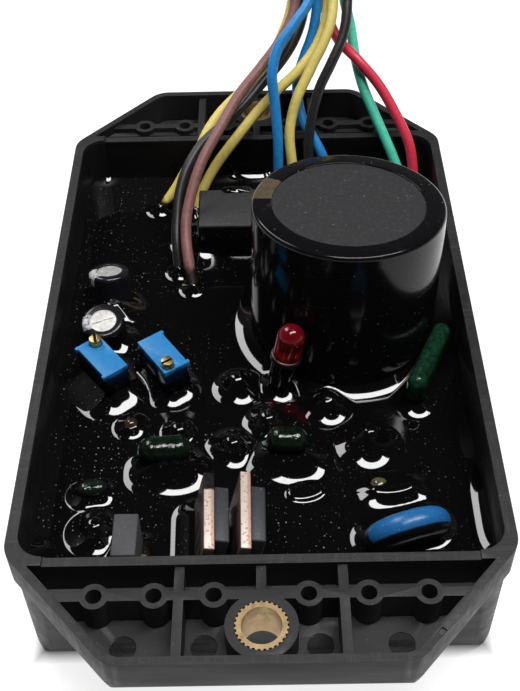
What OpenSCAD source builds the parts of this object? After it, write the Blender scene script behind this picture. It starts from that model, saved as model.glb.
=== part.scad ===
// Automatic voltage regulator for a generator: a control board potted in black resin in a
// moulded tray, with a bolt-down flange at each end and ten leads that run to one connector.
// The origin is the middle of the base. X is across the tray, Y along it, Z up.

/* [Case] */
// Width over the side walls
case_w = 78; // [76:0.5:84]
// Length over both flanged ends
case_l = 141; // [138:0.5:148]
// Height from the base to the rim
case_h = 29; // [28:0.5:32]
// Length of the straight part of each side
side_l = 103.8; // [100:0.2:106]
// Width of the flat end of each flange
end_w = 44.2; // [40:0.2:48]
// Outside length of the potting tray, over its cross walls
tray_l = 108.2; // [107:0.2:110]
// Thickness of the side walls
side_wall = 1.8; // [1.4:0.1:2.2]
// Thickness of the cross walls
cross_wall = 1.6; // [1.2:0.1:2]
// Height of the cross walls' top below the rim
cross_drop = 0.4; // [0.2:0.1:1]
// Thickness of the tray's floor
floor_t = 2.2; // [1.6:0.1:3]
// Radius of the tray's upright corners
corner_r = 6; // [4:0.5:8]
// Radius of the rounded bottom edges
base_round = 2; // [1:0.25:3]
// How far each side draws in from the rim to the base
base_draft = 0.6; // [0.2:0.1:1]

/* [Flanges] */
// Height of the flanges
flange_h = 8; // [7:0.25:9]
// Thickness of the flanges' floor
flange_floor = 1.3; // [1:0.1:2]
// Thickness of the rim round the flanges
rim_t = 1.4; // [1:0.1:2]
// Radius of the flanges' upright corners
flange_r = 5; // [3:0.5:7]
// Distance from the tray's outer face to the cross rib's middle
rib_setback = 4.8; // [4.4:0.1:5.2]
// Thickness of the cross rib
rib_t = 1.6; // [1.2:0.1:2]
// Height of the ribs' and bosses' top below the rim
rib_drop = 1; // [0.5:0.1:2]
// Width of the low ledge beside the cross rib
ledge_w = 1.2; // [0.8:0.1:1.5]
// Height of the ledge's top below the cross rib's top
ledge_drop = 1.2; // [0.6:0.1:2]
// Thickness of the webs that run from the tray to the end wall
web_t = 1.5; // [1:0.1:2]
// Distance of the outer webs from the centre line
web_x = 12.2; // [11.4:0.1:12.4]
// Diameter of the cover screw bosses
boss_d = 4.3; // [3.8:0.1:5]
// Diameter of their blind holes
boss_hole_d = 2.4; // [2:0.1:2.8]
// Depth of their blind holes
boss_hole_depth = 5; // [3:0.25:5.5]
// Distance of the first boss from the centre line
boss_first = 7; // [6.6:0.1:8]
// Spacing of the bosses
boss_step = 8.85; // [8.6:0.05:9.2]
// Diameter of the moulded ring round each bush
bush_boss_d = 10.8; // [10:0.1:11.6]
// Diameter of the ejector marks on the flange floors
ejector_d = 4; // [2:0.1:5]

/* [Bushes] */
// Distance between the two bolt holes
bolt_spacing = 128; // [127:0.25:129]
// Bolt hole through each bush
bush_bore = 6; // [5:0.1:6.4]
// Outside diameter of the bushes over the knurl
bush_d = 7.9; // [7.5:0.1:8.4]
// Number of grooves in the knurl
bush_grooves = 30; // [20:1:36]
// Diameter of a knurl groove
groove_d = 0.5; // [0.3:0.05:0.6]

/* [Board and resin] */
// Depth of the resin's surface below the rim
resin_drop = 10.3; // [9.5:0.1:11]
// Height of the board's underside above the tray's floor
board_lift = 8.2; // [7:0.2:9]
// Thickness of the board
board_t = 1.6; // [1:0.1:2]
// Gap between the board and the tray's walls
board_gap = 1; // [0.5:0.1:2]
// Diameter of the posts under the board
post_d = 6; // [4:0.5:8]
// Clearance of the cast resin round each part
cast_gap = 0.1; // [0.05:0.05:0.2]

/* [Main capacitor] */
// Diameter over the sleeve
main_cap_d = 35; // [33:0.25:36]
// Height over the sleeve
main_cap_h = 31.6; // [28:0.2:36]
// Diameter of the opening in the sleeve's rolled rim
main_cap_rim_d = 27.4; // [24:0.2:29]
// Thickness of the sleeve
sleeve_t = 0.3; // [0.2:0.05:0.5]
// Fit between a sleeve and its can
sleeve_fit = 0.05; // [0.03:0.01:0.1]
// Lean away from the near end, in degrees
main_cap_lean = 7; // [0:0.5:8]

/* [Small capacitors] */
// Diameter over the sleeve
small_cap_d = 8; // [7:0.1:8.2]
// Height over the sleeve
small_cap_h = 11.5; // [10:0.1:12.5]
// Diameter of the opening in the sleeve's rolled rim
small_cap_rim_d = 5; // [4:0.1:6]
// Depth of the scored cross on top of the can
score_depth = 0.2; // [0.1:0.05:0.4]
// Width of the scored cross
score_w = 0.25; // [0.15:0.05:0.4]

/* [Relay] */
// Length
relay_l = 20; // [16:0.5:21]
// Depth
relay_w = 12; // [9:0.2:13]
// Height
relay_h = 15.2; // [13:0.2:18]
// Radius of its upright edges
relay_r = 0.6; // [0.3:0.1:1]

/* [Trimmers] */
// Length of the body
trimmer_l = 9.53; // [9:0.01:10]
// Width of the body
trimmer_w = 4.83; // [4.4:0.01:5.2]
// Height of the body
trimmer_h = 10; // [8:0.1:11]
// Height of the body's underside above the board
trimmer_lift = 4.2; // [2:0.1:5]
// Diameter of the adjusting screw
screw_d = 2.2; // [1.8:0.05:2.4]
// Height of the screw's head above the body
screw_rise = 1.3; // [0.8:0.1:2]
// Depth of the screw inside the body
screw_sink = 4; // [2:0.25:6]
// Clearance round the screw
screw_gap = 0.12; // [0.08:0.01:0.2]
// Width of the screwdriver slot
slot_w = 0.45; // [0.3:0.05:0.6]
// Depth of the screwdriver slot
slot_depth = 0.6; // [0.3:0.05:1]

/* [Power devices] */
// Width of the metal tab
tab_w = 14.3; // [12:0.1:15]
// Thickness of the metal tab
tab_t = 1.7; // [1.3:0.1:2.2]
// Height of the tab above the board
tab_h = 16.4; // [14:0.2:17.5]
// Width of the moulded body
body_w = 10.3; // [9:0.1:11.5]
// Thickness of the moulded body
body_t = 2.5; // [2:0.1:3]
// Height of the moulded body above the board
body_h = 15.6; // [12:0.2:17]
// Fit between a tab and its body
tab_fit = 0.02; // [0.01:0.01:0.05]

/* [Other parts] */
// Diameter of the indicator lamp's lens
led_d = 5; // [4.5:0.1:5.2]
// Height of the lens above its collar
led_h = 6.8; // [6:0.1:8.6]
// Height of the black spacer under the lamp
spacer_h = 14.2; // [11:0.2:15]
// Diameter of the varistor's disc
varistor_d = 14.6; // [13:0.1:15]
// Thickness of the varistor's disc
varistor_t = 4.6; // [4:0.1:5.4]
// Diameter of the small transistors
transistor_d = 4.6; // [4:0.1:5]

/* [Leads] */
// Diameter of a lead over its insulation
wire_d = 2.2; // [2:0.05:2.3]
// Spacing of the ways in the connector
pin_pitch = 4.2; // [4:0.05:4.4]
// Length of the connector's housing
plug_l = 20; // [16:0.5:24]
// Height of the connector's housing
plug_h = 10; // [9.6:0.1:11]

/* [Hidden] */
$fn = 48;

// Room for a cut to run past the face that it opens
past = 1;
inner_w = case_w - 2 * side_wall;
inner_l = tray_l - 2 * cross_wall;
inner_r = corner_r - side_wall;
resin_z = case_h - resin_drop;
board_z = floor_t + board_lift;
board_top = board_z + board_t;
board_w = inner_w - 2 * board_gap;
board_l = inner_l - 2 * board_gap;
post_x = board_w / 2 - post_d;
post_y = board_l / 2 - post_d;
flange_z = case_h - flange_h;
rib_y = tray_l / 2 + rib_setback;
rib_top = case_h - rib_drop;
bush_h = flange_h - rib_drop;
bush_y = bolt_spacing / 2;

// The flange outline's corners, and the sides that face each other in pairs
chamfer = [(case_w - end_w) / 2, (case_l - side_l) / 2];
chamfer_turn = atan2(chamfer[0], chamfer[1]);
chamfer_span = case_w * cos(chamfer_turn) + side_l * sin(chamfer_turn);
flange_corners = [
    for (q = [[1, 1], [-1, 1], [-1, -1], [1, -1]])
        each q[0] * q[1] > 0
            ? [[q[0] * case_w, q[1] * side_l] / 2, [q[0] * end_w, q[1] * case_l] / 2]
            : [[q[0] * end_w, q[1] * case_l] / 2, [q[0] * case_w, q[1] * side_l] / 2]
];

// Small cut on the near rim, its place along the right-hand chamfer and its size
nick_along = 0.23;
nick = [1.7, 1.2, 0.7];
ejector_depth = 0.2;
ejector_x = [8.6, 20.6];
ejector_in = 6.2;

// Places of the parts, set out from the tray's inner walls or from the middle
main_cap_wall = 3.9;
main_cap_at = [inner_w / 2 - main_cap_wall - main_cap_d / 2, 6.2];
main_cap_side_lean = 1.2;
main_cap_shoulder = 1.4;
disc_t = 0.4;
disc_gap = 0.1;
relay_at = [-2.1, 31.2];
relay_chamfer = 0.5;
small_cap_apart = 2.5;
small_cap_mid = [-29.2, 8];
small_cap_far_at = small_cap_mid + [0, (small_cap_d + small_cap_apart) / 2];
small_cap_far_lean = 16;
small_cap_near_at = small_cap_mid - [0, (small_cap_d + small_cap_apart) / 2];
small_cap_near_lean = -11;
small_cap_lift = 1;
small_cap_shoulder = 0.8;
trimmer_right_at = [-17.4, -8.1];
trimmer_right_turn = -55.5;
trimmer_right_slot = 35;
trimmer_left_at = [-28.3, -8.8];
trimmer_left_turn = 128;
trimmer_left_slot = 103;
trimmer_ear = [0.7, 0.4, 1.2];
screw_in = 1.4;
screw_side = -0.9;
led_lean = 10;
led_collar = [5.7, 1];
spacer_d = 4.6;
led_gap = 1.5;
led_bearing = 230.7;
led_at = main_cap_at
    + (main_cap_d / 2 + spacer_d / 2 + led_gap) * [cos(led_bearing), sin(led_bearing)];
power_left_at = [-12.5, 8.1];
power_left_lean = 13;
power_left_turn = 1.5;
power_right_at = [-6.5, 8.2];
power_right_lean = 12;
power_right_turn = 0.5;
driver_at = [-21.1, 1.1];
driver_size = [3.9, 7.7, 15.2];
varistor_at = [23.5, 8.9];
varistor_lift = 2;
varistor_turn = 16;
varistor_lean = 22;
ceramic_at = [-23, -19.2];
ceramic_r = 1.4;
ceramic_rise = 1.8;
diode_at = from_near_wall([20, 19.3]);
diode_r = 1.7;
diode_rise = 1.6;

// Film capacitors: place, turn, length, thickness and height over the resin
film_side = [main_cap_at + [main_cap_d / 2 - 2.5, -14.6], 65, 17, 3.4, 7];
film_left = [[-16.3, -27], 2, 9.4, 5, 5.5];
film_middle = [[4.7, -25.6], -3, 7.4, 5, 5.8];
film_small = [[-28.4, -33.5], 8, 5.4, 3.2, 2.4];
film_lift = 1;
film_corner = 0.05;

// Small transistors: place, turn of the flat side and height over the resin
transistors = [
    [[-4.2, -9.4], 30, 2.2], [[-14.4, -20.6], -20, 1.6],
    [[-4.6, -25.2], 160, 2.2], [[0.9, -18.9], 80, 2],
    [[12.3, -15], -40, 1.8], [[19.1, -23.4], 120, 3],
    [[-27.3, -41], 0, 2], [[8.4, -35.4], 60, 1.2]
];
transistor_flat = 1.4;

// Leads: the point where each leaves the resin, then points along it to the top of its rise
wire_sides = 8;
wire_steps = 2;
brown_points = [[-13, 16],
    [-14, 20.5, 22.5], [-14.5, 25.5, 25.5], [-14, 30, 28.5], [-11.5, 37, 33.5],
    [-7.5, 44, 37.5], [-3.5, 51.5, 40.5], [1.2, 58, 43], [5.7, 63.5, 46.5], [8.6, 69, 51.5]];
black_left_points = [[-16, 21],
    [-16.5, 25.5, 22.5], [-16.5, 30, 25], [-16, 34.5, 28], [-14.5, 39, 31],
    [-11.5, 44, 33.5], [-7, 48, 35.5], [-2.5, 52.5, 37.5], [1, 56.5, 39.5], [5, 60.5, 42],
    [8, 64.5, 44.5], [10, 68.5, 47.5], [11, 73, 51]];
yellow_left_points = [[-21, 41],
    [-17.5, 44, 22.5], [-15, 46, 26], [-12.5, 49, 28.5], [-10.5, 52.5, 31],
    [-7.5, 56, 33.5], [-3.5, 59, 36], [1, 62, 38.5], [5, 66.5, 43.5], [8, 71.5, 49.5]];
yellow_middle_points = [[-13.5, 40],
    [-12, 43, 22], [-9, 46.5, 26], [-4.5, 50, 30.5], [0, 53.5, 34.5],
    [4.5, 56.5, 38], [9.5, 59.5, 41.5], [13.5, 63.5, 45.5], [15.5, 68.5, 50.5]];
blue_left_points = [[4.5, 44.5],
    [4.5, 45.5, 25.5], [4.5, 48, 31.5], [4, 52, 38], [3.5, 55, 43],
    [4.8, 58.5, 47], [8.2, 62, 50.5], [12, 67.5, 54.5]];
yellow_right_points = [[7.5, 44.5],
    [7.5, 45.5, 26], [7, 48.5, 31.5], [7.5, 51, 35], [9, 53.5, 39],
    [12, 57.5, 43.5], [15, 61.5, 48], [16.5, 66.5, 52.5]];
blue_right_points = [[16.5, 46.5],
    [15.5, 47, 23], [14, 48.5, 27], [12, 51, 30], [10, 53.5, 32.5],
    [9, 57, 35.5], [9, 60.5, 38.5], [10.5, 63.5, 42], [12.5, 66.5, 46.5], [13.5, 71, 52]];
black_right_points = [[10.5, 44],
    [11, 45.5, 26], [11, 48, 31], [12, 51.5, 36], [13.5, 54.5, 40],
    [16, 57.5, 44], [18.5, 61.5, 48], [19.5, 66.5, 52.5]];
green_points = [[31, 45],
    [30.5, 46, 23.5], [28.5, 49, 28], [25.5, 54, 33], [23, 58.5, 37.5],
    [21.5, 63.5, 41.5], [20.5, 68, 46.5], [19, 72.5, 52]];
red_points = [[34, 44],
    [33.5, 45, 24], [32.5, 48.5, 29.5], [29.5, 53, 34.5], [26, 57, 39],
    [21.5, 60.5, 43], [17.5, 66, 45], [15, 73, 49.5]];

// The bundle's line over the far end and down to the table: along Y and up
bundle_x = 14;
bundle_line = [[78, 60], [92, 64], [108, 61], [123, 51], [138, 36], [152, 20], [165, 8.5], [176, 5]];
plug_y = 184;
plug_wall = 1.8;
pin_hole_d = 2.8;
pin_hole_depth = 6;
latch = [6, 9, 1.4];

// The lead's slots in the bundle, across and below its line, and its way in the connector
brown_slot = [[-6, -0.8], [-2, 1]];
black_left_slot = [[-2.6, 3], [-1, -1]];
yellow_left_slot = [[-4.8, 1.5], [-2, -1]];
yellow_middle_slot = [[1.9, 1.2], [1, -1]];
blue_left_slot = [[-1.9, -1.6], [-1, 1]];
yellow_right_slot = [[2.4, -1.2], [1, 1]];
blue_right_slot = [[-0.6, 0.8], [0, 1]];
black_right_slot = [[5.7, -1.2], [2, 1]];
green_slot = [[4.4, 0.9], [2, -1]];
red_slot = [[0.6, 3.4], [0, -1]];

function unit(v) = v / norm(v);

// Where the rounding of a corner starts, ends and has its centre
function corner_start(a, b, c, r) = b + unit(a - b) * r / tan(corner_half(a, b, c));
function corner_end(a, b, c, r) = corner_start(c, b, a, r);
function corner_half(a, b, c) = acos(unit(a - b) * unit(c - b)) / 2;
function corner_centre(a, b, c, r) =
    b + unit(unit(a - b) + unit(c - b)) * r / sin(corner_half(a, b, c));

// A convex outline with every corner rounded to the same radius
module rounded_polygon(corners, r) {
    n = len(corners);
    polygon([
        for (i = [0 : n - 1])
            let (a = corners[(i + n - 1) % n], b = corners[i], c = corners[(i + 1) % n])
                each [corner_start(a, b, c, r), corner_end(a, b, c, r)]
    ]);
    for (i = [0 : n - 1]) {
        translate(corner_centre(corners[(i + n - 1) % n], corners[i], corners[(i + 1) % n], r))
            circle(r);
    }
}

module rounded_rect(size, r) {
    x = size[0] / 2;
    y = size[1] / 2;
    rounded_polygon([[x, y], [-x, y], [-x, -y], [x, -y]], r);
}

// A slab across X of the given span, rounded along its two bottom edges and open upwards
module round_bottomed_slab(span, bottom, draft, length) {
    top = case_h + 2 * base_round;
    spread = draft * (top - case_h) / (case_h - bottom);
    rotate([90, 0, 0])
        linear_extrude(length, center = true)
            rounded_polygon([
                [span / 2 - draft, bottom], [span / 2 + spread, top],
                [-span / 2 - spread, top], [draft - span / 2, bottom]
            ], base_round);
}

module tray_outside() {
    intersection() {
        linear_extrude(case_h) rounded_rect([case_w, tray_l], corner_r);
        round_bottomed_slab(case_w, 0, base_draft, case_l);
        rotate(90) round_bottomed_slab(tray_l, 0, base_draft, case_l);
    }
}

module flange_outside() {
    intersection() {
        translate([0, 0, flange_z]) linear_extrude(flange_h) rounded_polygon(flange_corners, flange_r);
        rotate(90) round_bottomed_slab(case_l, flange_z, 0, case_l);
        rotate(chamfer_turn) round_bottomed_slab(chamfer_span, flange_z, 0, 2 * case_l);
        rotate(-chamfer_turn) round_bottomed_slab(chamfer_span, flange_z, 0, 2 * case_l);
    }
}

// The flange outline brought in from its outer face
module flange_inside(inset) {
    corners = [
        for (c = flange_corners)
            let (side = abs(c[0]) > end_w / 2)
                [sign(c[0]) * (abs(c[0]) - (side ? inset : inset * tan(45 - chamfer_turn / 2))),
                 sign(c[1]) * (abs(c[1]) - (side ? inset * tan(chamfer_turn / 2) : inset))]
    ];
    rounded_polygon(corners, flange_r - inset);
}

module flange_pocket() {
    translate([0, 0, flange_z + flange_floor])
        linear_extrude(flange_h)
            difference() {
                flange_inside(rim_t);
                square([case_w + past, tray_l], center = true);
            }
}

// Ribs, webs and bosses of the near flange, rooted in its floor, its rim and the tray's wall
module flange_ribs() {
    root_z = flange_z + flange_floor / 2;
    rib_h = rib_top - root_z;
    reach = rim_t / 2;
    intersection() {
        union() {
            translate([-case_w / 2, -rib_y - rib_t / 2, root_z]) cube([case_w, rib_t, rib_h]);
            translate([-case_w / 2, -rib_y, root_z])
                cube([case_w, rib_t / 2 + ledge_w, rib_h - ledge_drop]);
            for (x = [-web_x, web_x]) {
                translate([x - web_t / 2, -case_l / 2 + reach, root_z])
                    cube([web_t, (case_l - tray_l) / 2, rib_h]);
            }
            translate([-web_t / 2, -rib_y, root_z]) cube([web_t, rib_setback + reach, rib_h]);
            boss_places() translate([0, 0, -rib_h]) cylinder(d = boss_d, h = rib_h);
            translate([0, -bush_y, root_z]) cylinder(d = bush_boss_d, h = rib_h);
        }
        translate([0, 0, root_z]) linear_extrude(flange_h) flange_inside(reach);
    }
}

module boss_places() {
    for (side = [-1, 1], k = [0 : 2]) {
        translate([side * (boss_first + k * boss_step), -rib_y, rib_top]) children();
    }
}

module flange_holes() {
    boss_places()
        translate([0, 0, -boss_hole_depth]) cylinder(d = boss_hole_d, h = boss_hole_depth + past);
    translate([0, -bush_y, flange_z - past]) cylinder(d = bush_d, h = flange_h + 2 * past);
    for (side = [-1, 1], x = ejector_x) {
        translate([side * x, ejector_in - case_l / 2, flange_z + flange_floor - ejector_depth])
            cylinder(d = ejector_d, h = ejector_depth + past);
    }
}

module both_ends() {
    children();
    rotate(180) children();
}

// Posts rooted in the tray's floor
module board_posts(grow = 0) {
    root_z = floor_t / 2;
    for (x = [-post_x, post_x], y = [-post_y, post_y]) {
        translate([x, y, root_z]) cylinder(d = post_d + 2 * grow, h = board_z - root_z);
    }
}

module rim_nick() {
    place = [end_w + nick_along * 2 * chamfer[0], -case_l + nick_along * 2 * chamfer[1]] / 2;
    translate([place[0], place[1], case_h]) rotate(-chamfer_turn) cube(nick, center = true);
}

module case() {
    color([0.16, 0.16, 0.17])
        difference() {
            union() {
                difference() {
                    union() {
                        tray_outside();
                        flange_outside();
                    }
                    translate([0, 0, floor_t])
                        linear_extrude(case_h) rounded_rect([inner_w, inner_l], inner_r);
                    flange_pocket();
                }
                both_ends() flange_ribs();
                board_posts();
            }
            both_ends() flange_holes();
            for (side = [-1, 1]) {
                translate([0, side * (tray_l - cross_wall) / 2, case_h])
                    cube([inner_w - 2 * inner_r, cross_wall + 0.01, 2 * cross_drop], center = true);
            }
            rim_nick();
        }
}

// Knurled brass bush that lines a bolt hole
module mount_bush(y) {
    color([0.78, 0.62, 0.32])
        translate([0, y, flange_z])
            difference() {
                cylinder(d = bush_d, h = bush_h);
                translate([0, 0, -past]) cylinder(d = bush_bore, h = bush_h + 2 * past);
                for (i = [1 : bush_grooves]) {
                    rotate(i * 360 / bush_grooves)
                        translate([bush_d / 2, 0, -past])
                            cylinder(d = groove_d, h = bush_h + 2 * past, $fn = 16);
                }
            }
}

module mount_bush_near() { mount_bush(-bush_y); }
module mount_bush_far() { mount_bush(bush_y); }

module board_block(grow = 0) {
    translate([0, 0, board_z - grow])
        linear_extrude(board_t + 2 * grow)
            rounded_rect([board_w + 2 * grow, board_l + 2 * grow], inner_r - board_gap + grow);
}

module circuit_board() { color([0.12, 0.35, 0.2]) board_block(); }

// Set a part on the board, or at a height over it, with a lean about X and about Y
module on_board(at, lift = 0) {
    translate([at[0], at[1], board_top + lift]) children();
}

// Set a part out from the near cross wall instead of the middle
function from_near_wall(at) = [at[0], at[1] - inner_l / 2];

// Half outline of a can with a rounded top edge, to be turned about Z
module can_half(r, h, shoulder) {
    square([r, h - shoulder]);
    square([r - shoulder, h]);
    translate([r - shoulder, h - shoulder]) circle(shoulder);
}

module can_solid(r, h, shoulder) {
    rotate_extrude($fn = 72) can_half(r, h, shoulder);
}

// Shrunk sleeve: a tube with its top edge rolled in to a round opening
module can_sleeve(r, h, shoulder, rim_r) {
    rotate_extrude($fn = 72)
        difference() {
            can_half(r, h, shoulder);
            can_half(r - sleeve_t, h - sleeve_t, shoulder - sleeve_t);
            square([rim_r, h + past]);
        }
}

// The leaning capacitor stands on the edge of its base
module main_cap_place() {
    drop = main_cap_d / 2 * sin(main_cap_lean) + main_cap_d / 2 * sin(main_cap_side_lean);
    back = (resin_z - board_top) * tan(main_cap_lean);
    on_board([main_cap_at[0], main_cap_at[1] - back], drop)
        rotate([-main_cap_lean, main_cap_side_lean, 0]) children();
}

module main_cap_block(grow = 0) {
    main_cap_place()
        translate([0, 0, -grow]) cylinder(d = main_cap_d + 2 * grow, h = main_cap_h, $fn = 72);
}

module main_capacitor_can() {
    inside = sleeve_t + sleeve_fit;
    color([0.7, 0.7, 0.72])
        main_cap_place()
            can_solid(main_cap_d / 2 - inside, main_cap_h - inside, main_cap_shoulder - inside);
}

module main_capacitor_sleeve() {
    color([0.07, 0.07, 0.08])
        main_cap_place()
            can_sleeve(main_cap_d / 2, main_cap_h, main_cap_shoulder, main_cap_rim_d / 2);
}

module main_capacitor_disc() {
    color([0.2, 0.2, 0.21])
        main_cap_place()
            translate([0, 0, main_cap_h - sleeve_t - sleeve_fit])
                cylinder(d = main_cap_rim_d - 2 * disc_gap, h = disc_t, $fn = 72);
}

module relay_block(grow = 0) {
    on_board(relay_at)
        translate([0, 0, -grow])
            linear_extrude(relay_h)
                rounded_rect([relay_l + 2 * grow, relay_w + 2 * grow], relay_r + grow);
}

module relay() {
    color([0.09, 0.09, 0.1])
        difference() {
            relay_block();
            on_board(relay_at, relay_h) {
                for (side = [-1, 1]) {
                    translate([0, side * relay_w / 2, 0])
                        rotate([45, 0, 0])
                            cube([relay_l + past, relay_chamfer, relay_chamfer], center = true);
                    translate([side * relay_l / 2, 0, 0])
                        rotate([0, 45, 0])
                            cube([relay_chamfer, relay_w + past, relay_chamfer], center = true);
                }
            }
        }
}

// A small capacitor is placed by the point where its axis meets the resin, and its base is clear
// of the board
module small_cap_place(at, lean) {
    tipped = small_cap_d / 2 * sin(abs(lean));
    depth = (resin_z - board_top - small_cap_lift - tipped) / cos(lean);
    translate([at[0], at[1], resin_z]) rotate([-lean, 0, 0]) translate([0, 0, -depth]) children();
}

module small_cap_block(at, lean, grow = 0) {
    small_cap_place(at, lean)
        translate([0, 0, -grow]) cylinder(d = small_cap_d + 2 * grow, h = small_cap_h);
}

module small_cap_can(at, lean) {
    inside = sleeve_t + sleeve_fit;
    r = small_cap_d / 2 - inside;
    top = small_cap_h - inside;
    color([0.75, 0.75, 0.74])
        small_cap_place(at, lean)
            difference() {
                can_solid(r, top, small_cap_shoulder - inside);
                for (turn = [20, 110]) {
                    translate([0, 0, top])
                        rotate(turn) cube([small_cap_rim_d - 1, score_w, 2 * score_depth], center = true);
                }
            }
}

module small_cap_sleeve(at, lean) {
    color([0.08, 0.08, 0.09])
        small_cap_place(at, lean)
            can_sleeve(small_cap_d / 2, small_cap_h, small_cap_shoulder, small_cap_rim_d / 2);
}

module small_capacitor_far_can() { small_cap_can(small_cap_far_at, small_cap_far_lean); }
module small_capacitor_far_sleeve() { small_cap_sleeve(small_cap_far_at, small_cap_far_lean); }
module small_capacitor_near_can() { small_cap_can(small_cap_near_at, small_cap_near_lean); }
module small_capacitor_near_sleeve() { small_cap_sleeve(small_cap_near_at, small_cap_near_lean); }

module trimmer_block(at, turn, grow = 0) {
    on_board(at, trimmer_lift)
        rotate(turn)
            translate([-trimmer_l / 2 - grow, -trimmer_w / 2 - grow, -grow])
                cube([trimmer_l + 2 * grow, trimmer_w + 2 * grow, trimmer_h]);
}

module screw_place(at, turn) {
    on_board(at, trimmer_lift)
        rotate(turn) translate([trimmer_l / 2 - screw_in, screw_side, trimmer_h]) children();
}

module trimmer(at, turn) {
    color([0.13, 0.45, 0.8])
        difference() {
            union() {
                trimmer_block(at, turn);
                on_board(at, trimmer_lift)
                    rotate(turn)
                        for (x = [-trimmer_l / 2, trimmer_l / 2 - trimmer_ear[0]]) {
                            translate([x, trimmer_w / 2, trimmer_h - trimmer_ear[2]]) cube(trimmer_ear);
                        }
            }
            screw_place(at, turn)
                translate([0, 0, -screw_sink])
                    cylinder(d = screw_d + 2 * screw_gap, h = screw_sink + past);
        }
}

// The adjusting screw, with its slot at an angle from X
module trimmer_screw(at, turn, slot) {
    color([0.75, 0.58, 0.3])
        screw_place(at, turn)
            difference() {
                translate([0, 0, screw_gap - screw_sink])
                    cylinder(d = screw_d, h = screw_sink + screw_rise - screw_gap);
                translate([0, 0, screw_rise])
                    rotate(slot - turn) cube([screw_d + past, slot_w, 2 * slot_depth], center = true);
            }
}

module trimmer_left() { trimmer(trimmer_left_at, trimmer_left_turn); }
module trimmer_left_screw() {
    trimmer_screw(trimmer_left_at, trimmer_left_turn, trimmer_left_slot);
}
module trimmer_right() { trimmer(trimmer_right_at, trimmer_right_turn); }
module trimmer_right_screw() {
    trimmer_screw(trimmer_right_at, trimmer_right_turn, trimmer_right_slot);
}

module led_place() {
    lift = spacer_d / 2 * sin(led_lean);
    on_board(led_at, lift) rotate([0, led_lean, 0]) children();
}

module spacer_block(grow = 0) {
    led_place() translate([0, 0, -grow]) cylinder(d = spacer_d + 2 * grow, h = spacer_h + grow);
}

module led_spacer() { color([0.08, 0.08, 0.08]) spacer_block(); }

// Clear red lamp: a collar, a straight barrel and a domed tip
module indicator_led() {
    r = led_d / 2;
    color([0.75, 0.06, 0.08])
        led_place()
            translate([0, 0, spacer_h])
                rotate_extrude()
                    union() {
                        square([led_collar[0] / 2, led_collar[1]]);
                        square([r, led_collar[1] + led_h - r]);
                        intersection() {
                            translate([0, led_collar[1] + led_h - r]) circle(r);
                            square([r, led_collar[1] + led_h]);
                        }
                    }
}

// Dipped film capacitor: a pillow with a rounded top that stands in the resin
module film_place(film) {
    on_board(film[0], film_lift) rotate(film[1]) children();
}

module film_half(r, h) {
    square([r, h - r]);
    intersection() {
        translate([0, h - r]) circle(r);
        square([r, h]);
    }
}

module film_block(film) {
    r = film[3] / 2;
    straight = film[2] - 2 * r;
    h = resin_z + film[4] - board_top - film_lift;
    film_place(film) {
        for (side = [0, 180]) {
            rotate(side)
                translate([straight / 2, 0, 0]) rotate(-90) rotate_extrude(angle = 180) film_half(r, h);
        }
        rotate([90, 0, 90])
            linear_extrude(straight, center = true)
                union() {
                    film_half(r, h);
                    mirror([1, 0]) film_half(r, h);
                }
    }
}

module film_foot(film) {
    film_place(film)
        translate([0, 0, -cast_gap])
            linear_extrude(case_h)
                rounded_rect(
                    [film[2] + 2 * cast_gap, film[3] + 2 * cast_gap],
                    film[3] / 2 + cast_gap - film_corner
                );
}

module film_capacitor(film) { color([0.06, 0.2, 0.12]) film_block(film); }
module film_capacitor_side() { film_capacitor(film_side); }
module film_capacitor_left() { film_capacitor(film_left); }
module film_capacitor_middle() { film_capacitor(film_middle); }
module film_capacitor_small() { film_capacitor(film_small); }

// Power device: a metal tab with a moulded body on its right-hand face, leaning to the right
module power_place(at, lean, turn) {
    lift = (tab_t + tab_fit + body_t) * sin(lean);
    on_board(from_near_wall(at), lift) rotate(turn) rotate([0, lean, 0]) children();
}

module power_tab(at, lean, turn) {
    color([0.72, 0.6, 0.53])
        power_place(at, lean, turn) translate([0, -tab_w / 2, 0]) cube([tab_t, tab_w, tab_h]);
}

module power_body(at, lean, turn) {
    color([0.16, 0.16, 0.18])
        power_place(at, lean, turn)
            translate([tab_t + tab_fit, -body_w / 2, 0]) cube([body_t, body_w, body_h]);
}

module power_block(at, lean, turn, grow = 0) {
    power_place(at, lean, turn) {
        translate([-grow, -tab_w / 2 - grow, -grow])
            cube([tab_t + 2 * grow, tab_w + 2 * grow, tab_h]);
        translate([tab_t, -body_w / 2 - grow, -grow])
            cube([tab_fit + body_t + grow, body_w + 2 * grow, body_h]);
    }
}

module power_tab_left() { power_tab(power_left_at, power_left_lean, power_left_turn); }
module power_body_left() { power_body(power_left_at, power_left_lean, power_left_turn); }
module power_tab_right() { power_tab(power_right_at, power_right_lean, power_right_turn); }
module power_body_right() { power_body(power_right_at, power_right_lean, power_right_turn); }

// Fully moulded driver transistor, upright beside the near cross wall
module driver_block(grow = 0) {
    on_board(from_near_wall(driver_at))
        translate([-driver_size[0] / 2 - grow, -grow, -grow])
            cube([driver_size[0] + 2 * grow, driver_size[1] + 2 * grow, driver_size[2]]);
}

module driver_transistor() { color([0.22, 0.22, 0.23]) driver_block(); }

// Varistor: a coated disc with rounded edges, on its edge and leaning towards the near end
module varistor_block(grow = 0) {
    at = from_near_wall(varistor_at);
    r = varistor_d / 2 + grow;
    half = varistor_t / 2 + grow;
    edge = varistor_t / 2;
    rise = (varistor_d / 2 - edge) * cos(varistor_lean) + edge;
    on_board(at, varistor_lift + rise)
        rotate(varistor_turn)
            rotate([90 + varistor_lean, 0, 0])
                rotate_extrude()
                    union() {
                        translate([0, -half]) square([r - half, 2 * half]);
                        intersection() {
                            translate([r - half, 0]) circle(half);
                            translate([0, -half]) square([r, 2 * half]);
                        }
                    }
}

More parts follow.
